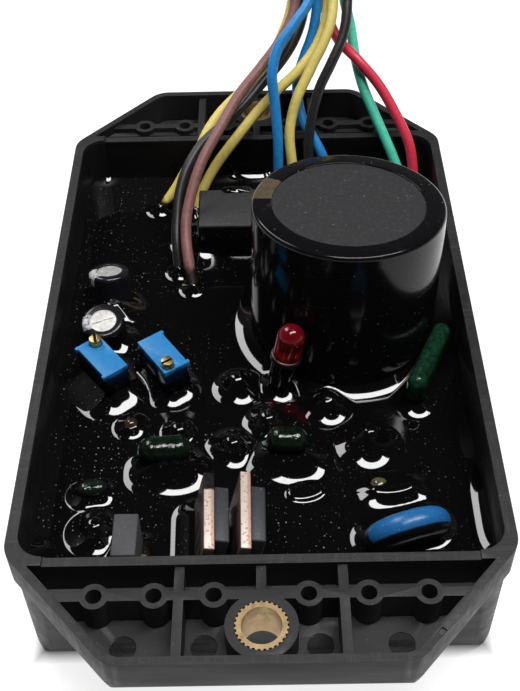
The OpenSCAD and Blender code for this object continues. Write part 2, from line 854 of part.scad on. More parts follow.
module varistor() { color([0.1, 0.38, 0.68]) varistor_block(); }

// Upright bead with a domed top, standing on the board
module bead(at, r, rise) {
    shoulder = resin_z + rise - r - board_top;
    on_board(at)
        rotate_extrude()
            union() {
                square([r, shoulder]);
                intersection() {
                    translate([0, shoulder]) circle(r);
                    square([r, shoulder + r]);
                }
            }
}

module bead_foot(at, r) {
    on_board(at, -cast_gap) cylinder(r = r + cast_gap, h = case_h);
}

module ceramic_capacitor() { color([0.4, 0.22, 0.1]) bead(ceramic_at, ceramic_r, ceramic_rise); }
module glass_diode() { color([0.25, 0.23, 0.12]) bead(diode_at, diode_r, diode_rise); }

// Small transistor: a round moulded body with one flat side
module transistor_block(t, grow = 0) {
    on_board(t[0])
        rotate(t[1])
            linear_extrude(resin_z + t[2] - board_top)
                intersection() {
                    circle(d = transistor_d + 2 * grow);
                    translate([-transistor_d, -transistor_d])
                        square([2 * transistor_d, transistor_d + transistor_flat + grow]);
                }
}

module small_transistor(i) { color([0.1, 0.1, 0.1]) transistor_block(transistors[i]); }
module small_transistor_a() { small_transistor(0); }
module small_transistor_b() { small_transistor(1); }
module small_transistor_c() { small_transistor(2); }
module small_transistor_d() { small_transistor(3); }
module small_transistor_e() { small_transistor(4); }
module small_transistor_f() { small_transistor(5); }
module small_transistor_g() { small_transistor(6); }
module small_transistor_h() { small_transistor(7); }

// Cast resin that fills the tray round the board, the posts and the foot of every part
module potting_resin() {
    color([0.03, 0.03, 0.035])
        difference() {
            difference() {
                translate([0, 0, floor_t])
                    linear_extrude(resin_z - floor_t) rounded_rect([inner_w, inner_l], inner_r);
                board_block(cast_gap);
                board_posts(cast_gap);
            }
            main_cap_block(cast_gap);
            relay_block(cast_gap);
            small_cap_block(small_cap_far_at, small_cap_far_lean, cast_gap);
            small_cap_block(small_cap_near_at, small_cap_near_lean, cast_gap);
            trimmer_block(trimmer_left_at, trimmer_left_turn, cast_gap);
            trimmer_block(trimmer_right_at, trimmer_right_turn, cast_gap);
            spacer_block(cast_gap);
            for (film = [film_side, film_left, film_middle, film_small]) {
                film_foot(film);
            }
            power_block(power_left_at, power_left_lean, power_left_turn, cast_gap);
            power_block(power_right_at, power_right_lean, power_right_turn, cast_gap);
            driver_block(cast_gap);
            varistor_block(cast_gap);
            bead_foot(ceramic_at, ceramic_r);
            bead_foot(diode_at, diode_r);
            for (t = transistors) {
                transistor_block(t, cast_gap);
            }
            for (points = all_wire_points) {
                lead_foot_hole(points);
            }
        }
}

all_wire_points = [
    brown_points, black_left_points, yellow_left_points, yellow_middle_points, blue_left_points,
    yellow_right_points, blue_right_points, black_right_points, green_points, red_points
];

// A lead runs up through the resin in line with its first stretch outside
function lead_mouth(points) = [points[0][0], points[0][1], resin_z];
function lead_lean(points) = unit(points[1] - lead_mouth(points));
function lead_foot(points) =
    lead_mouth(points) - lead_lean(points) * (resin_z - board_top) / lead_lean(points)[2];

module lead_foot_hole(points) {
    lean = lead_lean(points);
    r = (wire_d / 2 + cast_gap) / cos(180 / wire_sides);
    back = r * norm([lean[0], lean[1]]) / lean[2];
    translate(lead_foot(points))
        rotate([0, acos(lean[2]), atan2(lean[1], lean[0])])
            translate([0, 0, -back]) cylinder(r = r, h = case_h, $fn = wire_sides);
}

// Points of one lead from the top of its rise, over the bundle's line, to its way in the connector
function bundle_normal(k) =
    let (
        n = len(bundle_line),
        step = bundle_line[min(k + 1, n - 1)] - bundle_line[max(k - 1, 0)]
    )
        [step[1], -step[0]] / norm(step);
function way_place(slot) = [slot[1][0] * pin_pitch, slot[1][1] * pin_pitch / 2];
function bundle_points(slot) = [
    for (k = [0 : len(bundle_line) - 1])
        let (
            share = k / (len(bundle_line) - 1),
            way = way_place(slot),
            across = slot[0][0] * (1 - share) + way[0] * share,
            below = slot[0][1] * (1 - share) - way[1] * share,
            n = bundle_normal(k)
        )
            [bundle_x + across, bundle_line[k][0] + below * n[0], bundle_line[k][1] + below * n[1]]
];
function way_point(slot, y) =
    [bundle_x + way_place(slot)[0], y, plug_h / 2 + way_place(slot)[1]];
function lead_points(points, slot) = concat(
    [lead_mouth(points)],
    [for (i = [1 : len(points) - 1]) points[i]],
    bundle_points(slot),
    [way_point(slot, plug_y - 2), way_point(slot, plug_y + pin_hole_depth)]
);

// A smooth curve through the points
function smooth_at(a, b, c, d, t) =
    (2 * b + (c - a) * t + (2 * a - 5 * b + 4 * c - d) * t * t
        + (3 * b - a - 3 * c + d) * t * t * t) / 2;
function smooth(points, steps) =
    let (n = len(points))
        concat(
            [
                for (i = [0 : n - 2], k = [0 : steps - 1])
                    smooth_at(
                        points[max(i - 1, 0)], points[i], points[i + 1],
                        points[min(i + 2, n - 1)], k / steps
                    )
            ],
            [points[n - 1]]
        );

// A ring of the lead's surface, square to the path
function ring(at, along) =
    let (
        t = unit(along),
        side = unit([1, 0, 0] - t * t[0]),
        up = cross(t, side)
    )
        [
            for (k = [0 : wire_sides - 1])
                at + wire_d / 2 * (side * cos(k * 360 / wire_sides) + up * sin(k * 360 / wire_sides))
        ];

// One lead, swept from the board straight up through the resin and on along its curve
module wire(points, slot, tint) {
    path = concat([lead_foot(points)], smooth(lead_points(points, slot), wire_steps));
    n = len(path);
    rings = [
        for (i = [0 : n - 1])
            let (
                along = i == 0 ? [0, 0, 1] : i == n - 1 ? [0, 1, 0] : path[i + 1] - path[i - 1]
            )
                ring(path[i], along)
    ];
    m = wire_sides;
    color(tint)
        polyhedron(
            points = [for (r = rings) each r],
            faces = concat(
                [[for (k = [0 : m - 1]) k]],
                [
                    for (i = [0 : n - 2], k = [0 : m - 1])
                        [i * m + k, (i + 1) * m + k, (i + 1) * m + (k + 1) % m, i * m + (k + 1) % m]
                ],
                [[for (k = [m - 1 : -1 : 0]) (n - 1) * m + k]]
            )
        );
}

module wire_brown() { wire(brown_points, brown_slot, [0.55, 0.33, 0.3]); }
module wire_black_left() { wire(black_left_points, black_left_slot, [0.1, 0.1, 0.1]); }
module wire_yellow_left() { wire(yellow_left_points, yellow_left_slot, [0.9, 0.76, 0.25]); }
module wire_yellow_middle() { wire(yellow_middle_points, yellow_middle_slot, [0.9, 0.76, 0.25]); }
module wire_blue_left() { wire(blue_left_points, blue_left_slot, [0.15, 0.5, 0.85]); }
module wire_yellow_right() { wire(yellow_right_points, yellow_right_slot, [0.9, 0.76, 0.25]); }
module wire_blue_right() { wire(blue_right_points, blue_right_slot, [0.15, 0.5, 0.85]); }
module wire_black_right() { wire(black_right_points, black_right_slot, [0.1, 0.1, 0.1]); }
module wire_green() { wire(green_points, green_slot, [0.1, 0.65, 0.45]); }
module wire_red() { wire(red_points, red_slot, [0.8, 0.1, 0.15]); }

// Ten-way nylon housing: two rows of round wire ways at the back, a square one for each contact
// at the front, and a latch on top
module wire_connector() {
    w = 4 * pin_pitch + pin_hole_d + 2 * plug_wall;
    window = pin_hole_d - 0.4;
    color([0.9, 0.9, 0.87])
        difference() {
            union() {
                translate([bundle_x - w / 2, plug_y, 0]) cube([w, plug_l, plug_h]);
                translate([bundle_x - latch[0] / 2, plug_y + (plug_l - latch[1]) / 2, plug_h])
                    cube(latch);
            }
            for (col = [-2 : 2], row = [-1, 1]) {
                at = way_point([[0, 0], [col, row]], plug_y);
                translate(at) {
                    translate([0, pin_hole_depth, 0])
                        rotate([90, 0, 0]) cylinder(d = pin_hole_d, h = pin_hole_depth + past);
                    translate([-window / 2, pin_hole_depth + 2 * plug_wall, -window / 2])
                        cube([window, plug_l, window]);
                }
            }
        }
}

case();
mount_bush_near();
mount_bush_far();
circuit_board();
potting_resin();
main_capacitor_can();
main_capacitor_sleeve();
main_capacitor_disc();
relay();
small_capacitor_far_can();
small_capacitor_far_sleeve();
small_capacitor_near_can();
small_capacitor_near_sleeve();
trimmer_left();
trimmer_left_screw();
trimmer_right();
trimmer_right_screw();
indicator_led();
led_spacer();
film_capacitor_side();
film_capacitor_left();
film_capacitor_middle();
film_capacitor_small();
power_tab_left();
power_body_left();
power_tab_right();
power_body_right();
driver_transistor();
varistor();
ceramic_capacitor();
glass_diode();
small_transistor_a();
small_transistor_b();
small_transistor_c();
small_transistor_d();
small_transistor_e();
small_transistor_f();
small_transistor_g();
small_transistor_h();
wire_brown();
wire_black_left();
wire_yellow_left();
wire_yellow_middle();
wire_blue_left();
wire_yellow_right();
wire_blue_right();
wire_black_right();
wire_green();
wire_red();
wire_connector();
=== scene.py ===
import math

import bmesh
import bpy
import numpy as np
from mathutils import Euler, Matrix, Vector


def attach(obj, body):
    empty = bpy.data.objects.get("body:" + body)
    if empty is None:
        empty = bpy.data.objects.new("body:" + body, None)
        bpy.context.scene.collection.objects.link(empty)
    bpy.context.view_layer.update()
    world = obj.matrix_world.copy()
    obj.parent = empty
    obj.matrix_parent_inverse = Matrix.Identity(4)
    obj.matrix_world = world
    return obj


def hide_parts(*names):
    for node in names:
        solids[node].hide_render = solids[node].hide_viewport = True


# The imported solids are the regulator's fixed frame: every piece below is set on them, in metres,
# with the origin under the middle of the tray.
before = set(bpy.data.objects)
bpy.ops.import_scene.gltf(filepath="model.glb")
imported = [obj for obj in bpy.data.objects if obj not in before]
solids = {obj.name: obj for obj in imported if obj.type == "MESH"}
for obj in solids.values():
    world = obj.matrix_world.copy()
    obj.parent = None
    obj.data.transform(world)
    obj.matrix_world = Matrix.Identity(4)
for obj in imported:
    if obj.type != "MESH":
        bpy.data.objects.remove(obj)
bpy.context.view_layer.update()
scene = bpy.context.scene
scene.view_settings.view_transform = "Standard"

# The viewpoint is a longish lens over the near flange that looks down the tray at about 46 degrees,
# with the slight turn and roll of a picture taken by hand.
pitch, yaw, roll = math.radians(46.5), -0.0100, -0.0248
ahead = Vector((math.sin(yaw) * math.cos(pitch), math.cos(yaw) * math.cos(pitch), -math.sin(pitch)))
level = Vector((math.cos(yaw), -math.sin(yaw), 0))
upright = level.cross(ahead)
across = math.cos(roll) * level + math.sin(roll) * upright
over = math.cos(roll) * upright - math.sin(roll) * level
eye, lens_mm = (0.00155, -0.14272, 0.16932), 56.84
viewpoint = bpy.data.objects.new("viewpoint", bpy.data.cameras.new("viewpoint"))
viewpoint.data.lens = lens_mm
viewpoint.data.clip_start = 0.01
viewpoint.matrix_world = (
    Matrix.Translation(eye)
    @ Matrix((across, over, -ahead)).transposed().to_4x4()
)
scene.collection.objects.link(viewpoint)
scene.camera = viewpoint


# The table is a pale seamless sheet, and two strip softboxes hang over it, a bright one overhead and a
# dim one at the far left. The room above is dark, so the flat resin stays black.
def add(tree, kind, **inputs):
    made = tree.nodes.new("ShaderNode" + kind)
    for name, value in inputs.items():
        made.inputs[name.replace("_", " ")].default_value = value
    return made


def calc(tree, operation, *values):
    made = tree.nodes.new("ShaderNodeMath")
    made.operation = operation
    for socket, value in zip(made.inputs, values):
        if isinstance(value, (int, float)):
            socket.default_value = value
        else:
            tree.links.new(value, socket)
    return made.outputs[0]


def times(tree, *values):
    product = values[0]
    for value in values[1:]:
        product = calc(tree, "MULTIPLY", product, value)
    return product


def size_of(tree, value):
    return calc(tree, "ABSOLUTE", value)


table_r, table_drop = 6, 0.0001
sheet_grey, sheet_glow = 0.4, 0.85
dark_half_w, dark_half_l = 0.039, 0.055
table_bm = bmesh.new()
bmesh.ops.create_circle(table_bm, cap_ends=True, segments=96, radius=table_r)
bmesh.ops.translate(table_bm, verts=table_bm.verts, vec=(0, 0, -table_drop))
table_mesh = bpy.data.meshes.new("table")
table_bm.to_mesh(table_mesh)
table_bm.free()
table = bpy.data.objects.new("table", table_mesh)
scene.collection.objects.link(table)

sheet = bpy.data.materials.new("pale_sheet")
sheet.use_nodes = True
tree = sheet.node_tree
shader = tree.nodes["Principled BSDF"]
shader.inputs["Base Color"].default_value = (sheet_grey, sheet_grey, sheet_grey, 1)
shader.inputs["Roughness"].default_value = 0.9
shader.inputs["Emission Color"].default_value = (1, 1, 1, 1)
path = add(tree, "LightPath")
seen = calc(tree, "MAXIMUM", path.outputs["Is Camera Ray"], path.outputs["Is Glossy Ray"])
seen = calc(tree, "MAXIMUM", seen, path.outputs["Is Transmission Ray"])
spot = add(tree, "SeparateXYZ")
tree.links.new(add(tree, "TexCoord").outputs["Object"], spot.inputs[0])
beside = times(tree, size_of(tree, spot.outputs["X"]), 1 / dark_half_w)
beyond = times(tree, size_of(tree, spot.outputs["Y"]), 1 / dark_half_l)
clear = add(tree, "MapRange", From_Min=0.95, From_Max=1.0)
tree.links.new(calc(tree, "MAXIMUM", beside, beyond), clear.inputs["Value"])
tree.links.new(times(tree, seen, clear.outputs[0], sheet_glow), shader.inputs["Emission Strength"])
table_mesh.materials.append(sheet)

lamp_far = 0.95
for name, aim, along, size, watts in (
    ("overhead_strip", (0.214, 0.0, 0.977), (0.905, 0.376, -0.197), (0.8, 0.21), 7.8),
    ("left_strip", (-0.45, 0.53, 0.72), (0.09, -0.78, 0.62), (0.5, 0.26), 2.8),
):
    lamp = bpy.data.objects.new(name, bpy.data.lights.new(name, "AREA"))
    lamp.data.energy = watts
    lamp.data.shape = "RECTANGLE"
    lamp.data.size, lamp.data.size_y = size
    back = Vector(aim).normalized()
    side = (Vector(along) - Vector(along).dot(back) * back).normalized()
    turn = Matrix((side, back.cross(side), back)).transposed().to_4x4()
    lamp.matrix_world = Matrix.Translation(back * lamp_far) @ turn
    scene.collection.objects.link(lamp)

room = bpy.data.worlds.new("room")
scene.world = room
room.use_nodes = True
tree = room.node_tree
sky = add(tree, "SeparateXYZ")
tree.links.new(add(tree, "TexCoord").outputs["Generated"], sky.inputs[0])
at_horizon, at_zenith = 0.14, 0.01
shade = add(tree, "MapRange", From_Min=0.15, From_Max=0.6, To_Min=at_horizon, To_Max=at_zenith)
tree.links.new(sky.outputs["Z"], shade.inputs["Value"])
tree.links.new(shade.outputs[0], tree.nodes["Background"].inputs["Strength"])
tree.nodes["Background"].inputs["Color"].default_value = (1, 1, 1, 1)


# The case is one injection moulding in black plastic: a deep tray with a ribbed flange at each end.
# Its edges are slightly rounded, its top faces are rubbed pale in streaks, and it has a fine grain.
# The round marks in the flange floors are where the mould's ejector pins pushed it out.
mm = 0.001


def new_finish(name, colour, rough, metal=0.0, **sockets):
    material = bpy.data.materials.new(name)
    material.use_nodes = True
    shader = material.node_tree.nodes["Principled BSDF"]
    shader.inputs["Base Color"].default_value = (*colour, 1)
    shader.inputs["Roughness"].default_value = rough
    shader.inputs["Metallic"].default_value = metal
    for socket, value in sockets.items():
        shader.inputs[socket.replace("_", " ")].default_value = value
    return material, material.node_tree, shader


def where(tree, stretch=(1, 1, 1), at=None, turn=None):
    out = add(tree, "TexCoord").outputs["Object"]
    if at is not None:
        mapping = add(tree, "Mapping")
        mapping.vector_type = "TEXTURE"
        mapping.inputs["Location"].default_value = [mm * c for c in at]
        mapping.inputs["Rotation"].default_value = [math.radians(a) for a in turn or (0, 0, 0)]
        tree.links.new(out, mapping.inputs["Vector"])
        out = mapping.outputs[0]
    if stretch != (1, 1, 1):
        mapping = add(tree, "Mapping", Scale=stretch)
        tree.links.new(out, mapping.inputs["Vector"])
        out = mapping.outputs[0]
    return out


def along_axes(tree, place):
    split = add(tree, "SeparateXYZ")
    tree.links.new(place, split.inputs[0])
    return [times(tree, split.outputs[axis], 1 / mm) for axis in "XYZ"]


def noise(tree, place, scale, detail=4.0, rough=0.55):
    made = add(tree, "TexNoise", Scale=scale, Detail=detail, Roughness=rough)
    tree.links.new(place, made.inputs["Vector"])
    return made.outputs["Fac"]


def spread(tree, value, low, high, to_low=0.0, to_high=1.0):
    made = add(tree, "MapRange", From_Min=low, From_Max=high, To_Min=to_low, To_Max=to_high)
    tree.links.new(value, made.inputs["Value"])
    return made.outputs[0]


def mixed(tree, factor, first, second):
    made = tree.nodes.new("ShaderNodeMix")
    made.data_type = "RGBA"
    tree.links.new(factor, made.inputs[0])
    for socket, value in ((made.inputs[6], first), (made.inputs[7], second)):
        if isinstance(value, tuple):
            socket.default_value = (*value, 1)
        else:
            tree.links.new(value, socket)
    return made.outputs[2]


def specks(tree, place, scale, size, share, flat=False):
    cells = add(tree, "TexVoronoi", Scale=scale)
    if flat:
        cells.voronoi_dimensions = "2D"
    tree.links.new(place, cells.inputs["Vector"])
    pick = add(tree, "SeparateColor")
    tree.links.new(cells.outputs["Color"], pick.inputs[0])
    reach = times(tree, pick.outputs[1], size)
    inside = calc(tree, "LESS_THAN", cells.outputs["Distance"], reach)
    return times(tree, inside, calc(tree, "LESS_THAN", pick.outputs[0], share))


def bumpy(tree, shader, height, strength, distance):
    made = add(tree, "Bump", Strength=strength, Distance=distance)
    tree.links.new(height, made.inputs["Height"])
    tree.links.new(made.outputs[0], shader.inputs["Normal"])


def upward(tree):
    split = add(tree, "SeparateXYZ")
    tree.links.new(tree.nodes.new("ShaderNodeNewGeometry").outputs["Normal"], split.inputs[0])
    return split.outputs["Z"]


def softened(node, width, segments=2, least=30):
    bm = bmesh.new()
    bm.from_mesh(solids[node].data)
    bmesh.ops.remove_doubles(bm, verts=bm.verts, dist=2e-6)
    bmesh.ops.dissolve_limit(bm, angle_limit=math.radians(0.5), verts=bm.verts, edges=bm.edges)
    sharp = [
        e for e in bm.edges
        if e.is_manifold and e.calc_face_angle() > math.radians(least)
    ]
    bmesh.ops.bevel(
        bm, geom=sharp, offset=width * mm, offset_type="OFFSET", affect="EDGES",
        segments=segments, profile=0.5, clamp_overlap=True, material=-1,
    )
    return bm


def set_piece(bm, name, finish, stands_for=(), body="root", crease=40):
    mesh = bpy.data.meshes.new(name)
    bm.to_mesh(mesh)
    bm.free()
    mesh.polygons.foreach_set("use_smooth", [True] * len(mesh.polygons))
    mesh.set_sharp_from_angle(angle=math.radians(crease))
    mesh.materials.append(finish)
    piece = bpy.data.objects.new(name, mesh)
    scene.collection.objects.link(piece)
    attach(piece, body)
    if stands_for:
        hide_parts(*stands_for)
    return piece


def paint(tree, shader, colour, rough=None):
    tree.links.new(colour, shader.inputs["Base Color"])
    if rough is not None:
        tree.links.new(rough, shader.inputs["Roughness"])


tray_half_w, tray_half_l, tray_top = 38.0, 53.4, 28.2
flange_from, flange_floor_z = 54.5, 22.3
ejector_depth, ejector_shine = 0.2, 0.24
case_plastic, tree, shader = new_finish(
    "black_moulding", (0.02, 0.02, 0.021), 0.5, Specular_IOR_Level=0.4,
)
place = where(tree)
x, y, z = along_axes(tree, place)
mottle = noise(tree, place, 90, 5)
tone = mixed(tree, mottle, (0.014, 0.0136, 0.0155), (0.02, 0.0193, 0.0213))
top_face = times(tree, spread(tree, upward(tree), 0.8, 0.95), spread(tree, z, 28.0, 28.6))
streaks_x, streaks_y = (
    noise(tree, where(tree, stretch), 1, 5, 0.65) for stretch in ((120, 1600, 900), (1600, 120, 900))
)
streaky = calc(tree, "MAXIMUM", streaks_x, streaks_y)
worn = times(tree, top_face, spread(tree, streaky, 0.48, 0.75))
tone = mixed(tree, worn, tone, (0.042, 0.041, 0.04))
# The inside of the tray is painted near black: painted shade on its deep walls.
tray_inside_shade = times(
    tree, calc(tree, "LESS_THAN", size_of(tree, x), tray_half_w),
    calc(tree, "LESS_THAN", size_of(tree, y), tray_half_l), calc(tree, "LESS_THAN", z, tray_top),
)
tone = mixed(tree, tray_inside_shade, tone, (0.003, 0.003, 0.0035))
off_floor = size_of(tree, calc(tree, "SUBTRACT", z, flange_floor_z))
pushed = times(
    tree, calc(tree, "COMPARE", off_floor, ejector_depth, 0.08),
    calc(tree, "GREATER_THAN", size_of(tree, y), flange_from),
)
pushed_tone = mixed(tree, noise(tree, place, 900, 4), (0.003, 0.003, 0.003), (0.014, 0.014, 0.014))
tone = mixed(tree, pushed, tone, pushed_tone)
dirt = specks(tree, place, 1500, 0.13, 0.22)
rubbed = spread(tree, noise(tree, where(tree, (60, 900, 400)), 1, 4), 0.3, 0.7, 0.42, 0.6)
rough = calc(tree, "SUBTRACT", rubbed, times(tree, pushed, ejector_shine))
paint(tree, shader, mixed(tree, dirt, tone, (0.16, 0.15, 0.14)), rough)
bumpy(tree, shader, noise(tree, place, 2400, 3), 0.12, 0.0002)
set_piece(softened("case", 0.3), "moulded_case", case_plastic, ["case"], crease=24)

# The bushes are turned brass sleeves with a straight knurl, moulded into the flange rings to take
# the mounting bolts. The brass is dull and spotted, with fine turning marks.
brass, tree, shader = new_finish("worn_brass", (0.72, 0.47, 0.17), 0.42, 1.0)
place = where(tree)
tone = mixed(tree, noise(tree, place, 500, 5), (0.3, 0.19, 0.085), (0.55, 0.41, 0.23))
paint(tree, shader, tone, spread(tree, noise(tree, place, 900, 4), 0.3, 0.7, 0.36, 0.56))
bumpy(tree, shader, noise(tree, where(tree, (1, 1, 6)), 1500, 3), 0.2, 0.0001)


def dress(node, finish):
    solids[node].data.materials.clear()
    solids[node].data.materials.append(finish)


for node in ("mount_bush_near", "mount_bush_far"):
    dress(node, brass)

# The circuit board is glass-fibre laminate with green solder resist. It stands on four posts in the
# tray and the resin buries it.
laminate, tree, shader = new_finish("green_laminate", (0.03, 0.14, 0.06), 0.4)
weave = noise(tree, where(tree, (1, 1, 0.2)), 700, 3)
paint(tree, shader, mixed(tree, weave, (0.02, 0.11, 0.05), (0.04, 0.17, 0.08)))
dress("circuit_board", laminate)


# The main capacitor is a snap-in electrolytic: an aluminium can in a glossy black shrunk sleeve, whose
# top edge is rolled over a matt grey disc. It leans slightly away from the near end.
def local(at, turn):
    a, b, c = (math.radians(v) for v in turn)
    return Matrix.Translation(at) @ Euler((a, b, c), "XYZ").to_matrix().to_4x4()


def round_off(centre, r, start, end, steps):
    bearings = [math.radians(start + (end - start) * k / steps) for k in range(steps + 1)]
    return [(centre[0] + r * math.cos(a), centre[1] + r * math.sin(a)) for a in bearings]


def turned(profile, steps=96, closed=False):
    bm = bmesh.new()
    ring = [bm.verts.new((r, 0, z)) for r, z in profile]
    for pair in zip(ring, ring[1:] + (ring[:1] if closed else [])):
        bm.edges.new(pair)
    bmesh.ops.spin(
        bm, geom=bm.verts[:] + bm.edges[:], cent=(0, 0, 0), axis=(0, 0, 1), dvec=(0, 0, 0),
        angle=2 * math.pi, steps=steps, use_merge=True, use_duplicate=False,
    )
    bmesh.ops.remove_doubles(bm, verts=bm.verts, dist=1e-4)
    return bm


def put_down(bm, place):
    bmesh.ops.transform(bm, matrix=Matrix.Scale(mm, 4) @ place, verts=bm.verts)
    bmesh.ops.recalc_face_normals(bm, faces=bm.faces)
    return bm


main_at, main_turn = (15.8, 5.377, 14.499), (-7, 1.2, 0)
main_place = local(main_at, main_turn)
sleeve_outline = (
    [(16.9, 0), (17.5, 0.3), (17.5, 28.0), (17.46, 29.4), (17.42, 30.6)]
    + round_off((16.62, 30.72), 0.8, 0, 84, 10)
    + [(14.7, 31.6)]
    + round_off((13.96, 31.42), 0.2, 80, 180, 5)
    + [(13.76, 31.1), (16.6, 31.0), (16.9, 29.4)]
)
stain_bearing, stain_half, stain_from = math.radians(162), math.radians(13), 30.8
sleeve_film, tree, shader = new_finish(
    "black_sleeve_film", (0.006, 0.006, 0.007), 0.13, IOR=1.5, Specular_IOR_Level=0.25,
)
place = where(tree)
shrunk = noise(tree, where(tree, (1, 1, 0.25)), 260, 4)
scuffs = spread(tree, noise(tree, where(tree, (300, 300, 2200)), 1, 5), 0.62, 0.75)
lint = specks(tree, place, 1300, 0.16, 0.25)
tone = mixed(tree, times(tree, scuffs, 0.4), (0.006, 0.006, 0.007), (0.04, 0.04, 0.04))
x, y, z = along_axes(tree, where(tree, at=main_at, turn=main_turn))
stain = times(
    tree, calc(tree, "COMPARE", calc(tree, "ARCTAN2", y, x), stain_bearing, stain_half),
    calc(tree, "GREATER_THAN", z, stain_from),
)
stain_tone = mixed(tree, noise(tree, place, 900, 4), (0.05, 0.036, 0.02), (0.16, 0.12, 0.08))
tone = mixed(tree, stain, tone, stain_tone)
paint(tree, shader, mixed(tree, lint, tone, (0.2, 0.2, 0.2)), spread(tree, scuffs, 0, 1, 0.12, 0.35))
bumpy(tree, shader, shrunk, 0.05, 0.0006)
set_piece(
    put_down(turned(sleeve_outline, 160, True), main_place), "main_sleeve", sleeve_film,
    ["main_capacitor_sleeve"],
)

disc_outline = (
    [(0, 31.0), (13.6, 31.0), (13.75, 31.1), (13.75, 31.3)]
    + round_off((13.6, 31.3), 0.15, 0, 90, 4)
    + [(6, 31.46), (0, 31.46)]
)
grey_card, tree, shader = new_finish("matt_grey_disc", (0.03, 0.03, 0.033), 0.8)
place = where(tree)
fluff = spread(tree, noise(tree, place, 1400, 8, 0.7), 0.5, 0.72)
tone = mixed(tree, fluff, (0.019, 0.019, 0.021), (0.046, 0.046, 0.05))
scratch_x = spread(tree, noise(tree, where(tree, (3200, 260, 260)), 1, 4), 0.66, 0.74)
scratch_y = spread(tree, noise(tree, where(tree, (240, 3000, 300)), 1, 4), 0.67, 0.75)
scratch = calc(tree, "MAXIMUM", scratch_x, scratch_y)
tone = mixed(tree, times(tree, scratch, 0.35), tone, (0.1, 0.1, 0.105))
bits = specks(tree, place, 1300, 0.22, 0.3)
paint(tree, shader, mixed(tree, bits, tone, (0.15, 0.15, 0.155)))
bumpy(tree, shader, noise(tree, place, 3000, 4), 0.3, 0.0002)
set_piece(
    put_down(turned(disc_outline, 128), main_place), "main_disc", grey_card,
    ["main_capacitor_disc"],
)

aluminium, tree, shader = new_finish("drawn_aluminium", (0.7, 0.68, 0.65), 0.45, 0.6)
place = where(tree)
dull = spread(tree, noise(tree, place, 900, 6, 0.65), 0.35, 0.65)
tone = mixed(tree, dull, (0.56, 0.54, 0.51), (0.84, 0.82, 0.79))
paint(tree, shader, tone, spread(tree, noise(tree, place, 1600, 3), 0.3, 0.7, 0.38, 0.6))
bumpy(tree, shader, noise(tree, place, 2600, 3), 0.15, 0.0001)
dress("main_capacitor_can", aluminium)

# The relay is a sealed unit in a moulded black cover, so no resin gets in. The flat top is rough and
# dusty and is painted paler than the sides as a painted sheen, and the sides are glossy.
cover_plastic, tree, shader = new_finish("relay_cover", (0.012, 0.012, 0.013), 0.3, IOR=1.5)
place = where(tree)
on_top = spread(tree, upward(tree), 0.6, 0.95)
grain = noise(tree, place, 1500, 4)
# Faces that point up are painted paler with the grain: a painted sheen of the overhead light on the rough
# top.
tone = mixed(tree, times(tree, on_top, grain), (0.008, 0.008, 0.009), (0.05, 0.05, 0.053))
tone = mixed(tree, specks(tree, place, 1300, 0.16, 0.3), tone, (0.16, 0.16, 0.16))
paint(tree, shader, tone, spread(tree, on_top, 0, 1, 0.12, 0.55))
bumpy(tree, shader, grain, 0.1, 0.0002)
set_piece(softened("relay", 0.25), "relay_cover", cover_plastic, ["relay"])

# The two small electrolytics have bright cans scored with a cross, so that they vent, in black shrunk
# sleeves. A pale stripe with dark dashes marks the negative side.
stripe_half, stripe_from = 1.6, 9.2
dash_pitch, dash_at, dash_half_l, dash_half_w = 3.6, 2.6, 0.9, 0.45
small_outline = (
    [(3.75, 0), (4.0, 0.25), (4.0, 10.55)]
    + round_off((3.2, 10.65), 0.8, 0, 84, 10)
    + [(2.8, 11.49)]
    + round_off((2.66, 11.36), 0.13, 84, 190, 5)
    + [(2.5, 11.22), (3.4, 11.18), (3.72, 10.5)]
)
resin_level = 18.7
for name, at, lean, depth, minus in (
    ("far", (-29.2, 13.25), 16, 4.7825, 205), ("near", (-29.2, 2.75), -11, 5.029, 190),
):
    stands = Matrix.Translation((*at, resin_level)) @ Matrix.Rotation(math.radians(-lean), 4, "X")
    stands = stands @ Matrix.Translation((0, 0, -depth))
    foot = tuple(stands.translation)
    small_film, tree, shader = new_finish("small_sleeve_" + name, (0.008, 0.008, 0.01), 0.2, IOR=1.5)
    place = where(tree)
    x, y, z = along_axes(tree, where(tree, at=foot, turn=(-lean, 0, 0)))
    turn_x, turn_y = math.cos(math.radians(minus)), math.sin(math.radians(minus))
    facing_minus = calc(tree, "ADD", times(tree, x, turn_x), times(tree, y, turn_y))
    aside = size_of(tree, calc(tree, "SUBTRACT", times(tree, y, turn_x), times(tree, x, turn_y)))
    from_dash = size_of(tree, calc(tree, "SUBTRACT", calc(tree, "MODULO", z, dash_pitch), dash_at))
    dash = times(
        tree, calc(tree, "LESS_THAN", from_dash, dash_half_l), calc(tree, "LESS_THAN", aside, dash_half_w),
    )
    stripe = times(
        tree, calc(tree, "GREATER_THAN", facing_minus, 0.0), calc(tree, "LESS_THAN", aside, stripe_half),
        calc(tree, "SUBTRACT", 1.0, dash), spread(tree, noise(tree, place, 1500, 4), 0.3, 0.5),
        spread(tree, z, stripe_from, stripe_from + 1.0),
    )
    tone = mixed(tree, noise(tree, place, 700, 4), (0.006, 0.006, 0.008), (0.014, 0.014, 0.017))
    paint(tree, shader, mixed(tree, stripe, tone, (0.6, 0.6, 0.62)))
    bumpy(tree, shader, noise(tree, place, 500, 3), 0.08, 0.0003)
    set_piece(
        put_down(turned(small_outline, 72, True), stands), "small_sleeve_" + name, small_film,
        ["small_capacitor_" + name + "_sleeve"],
    )
    dress("small_capacitor_" + name + "_can", aluminium)
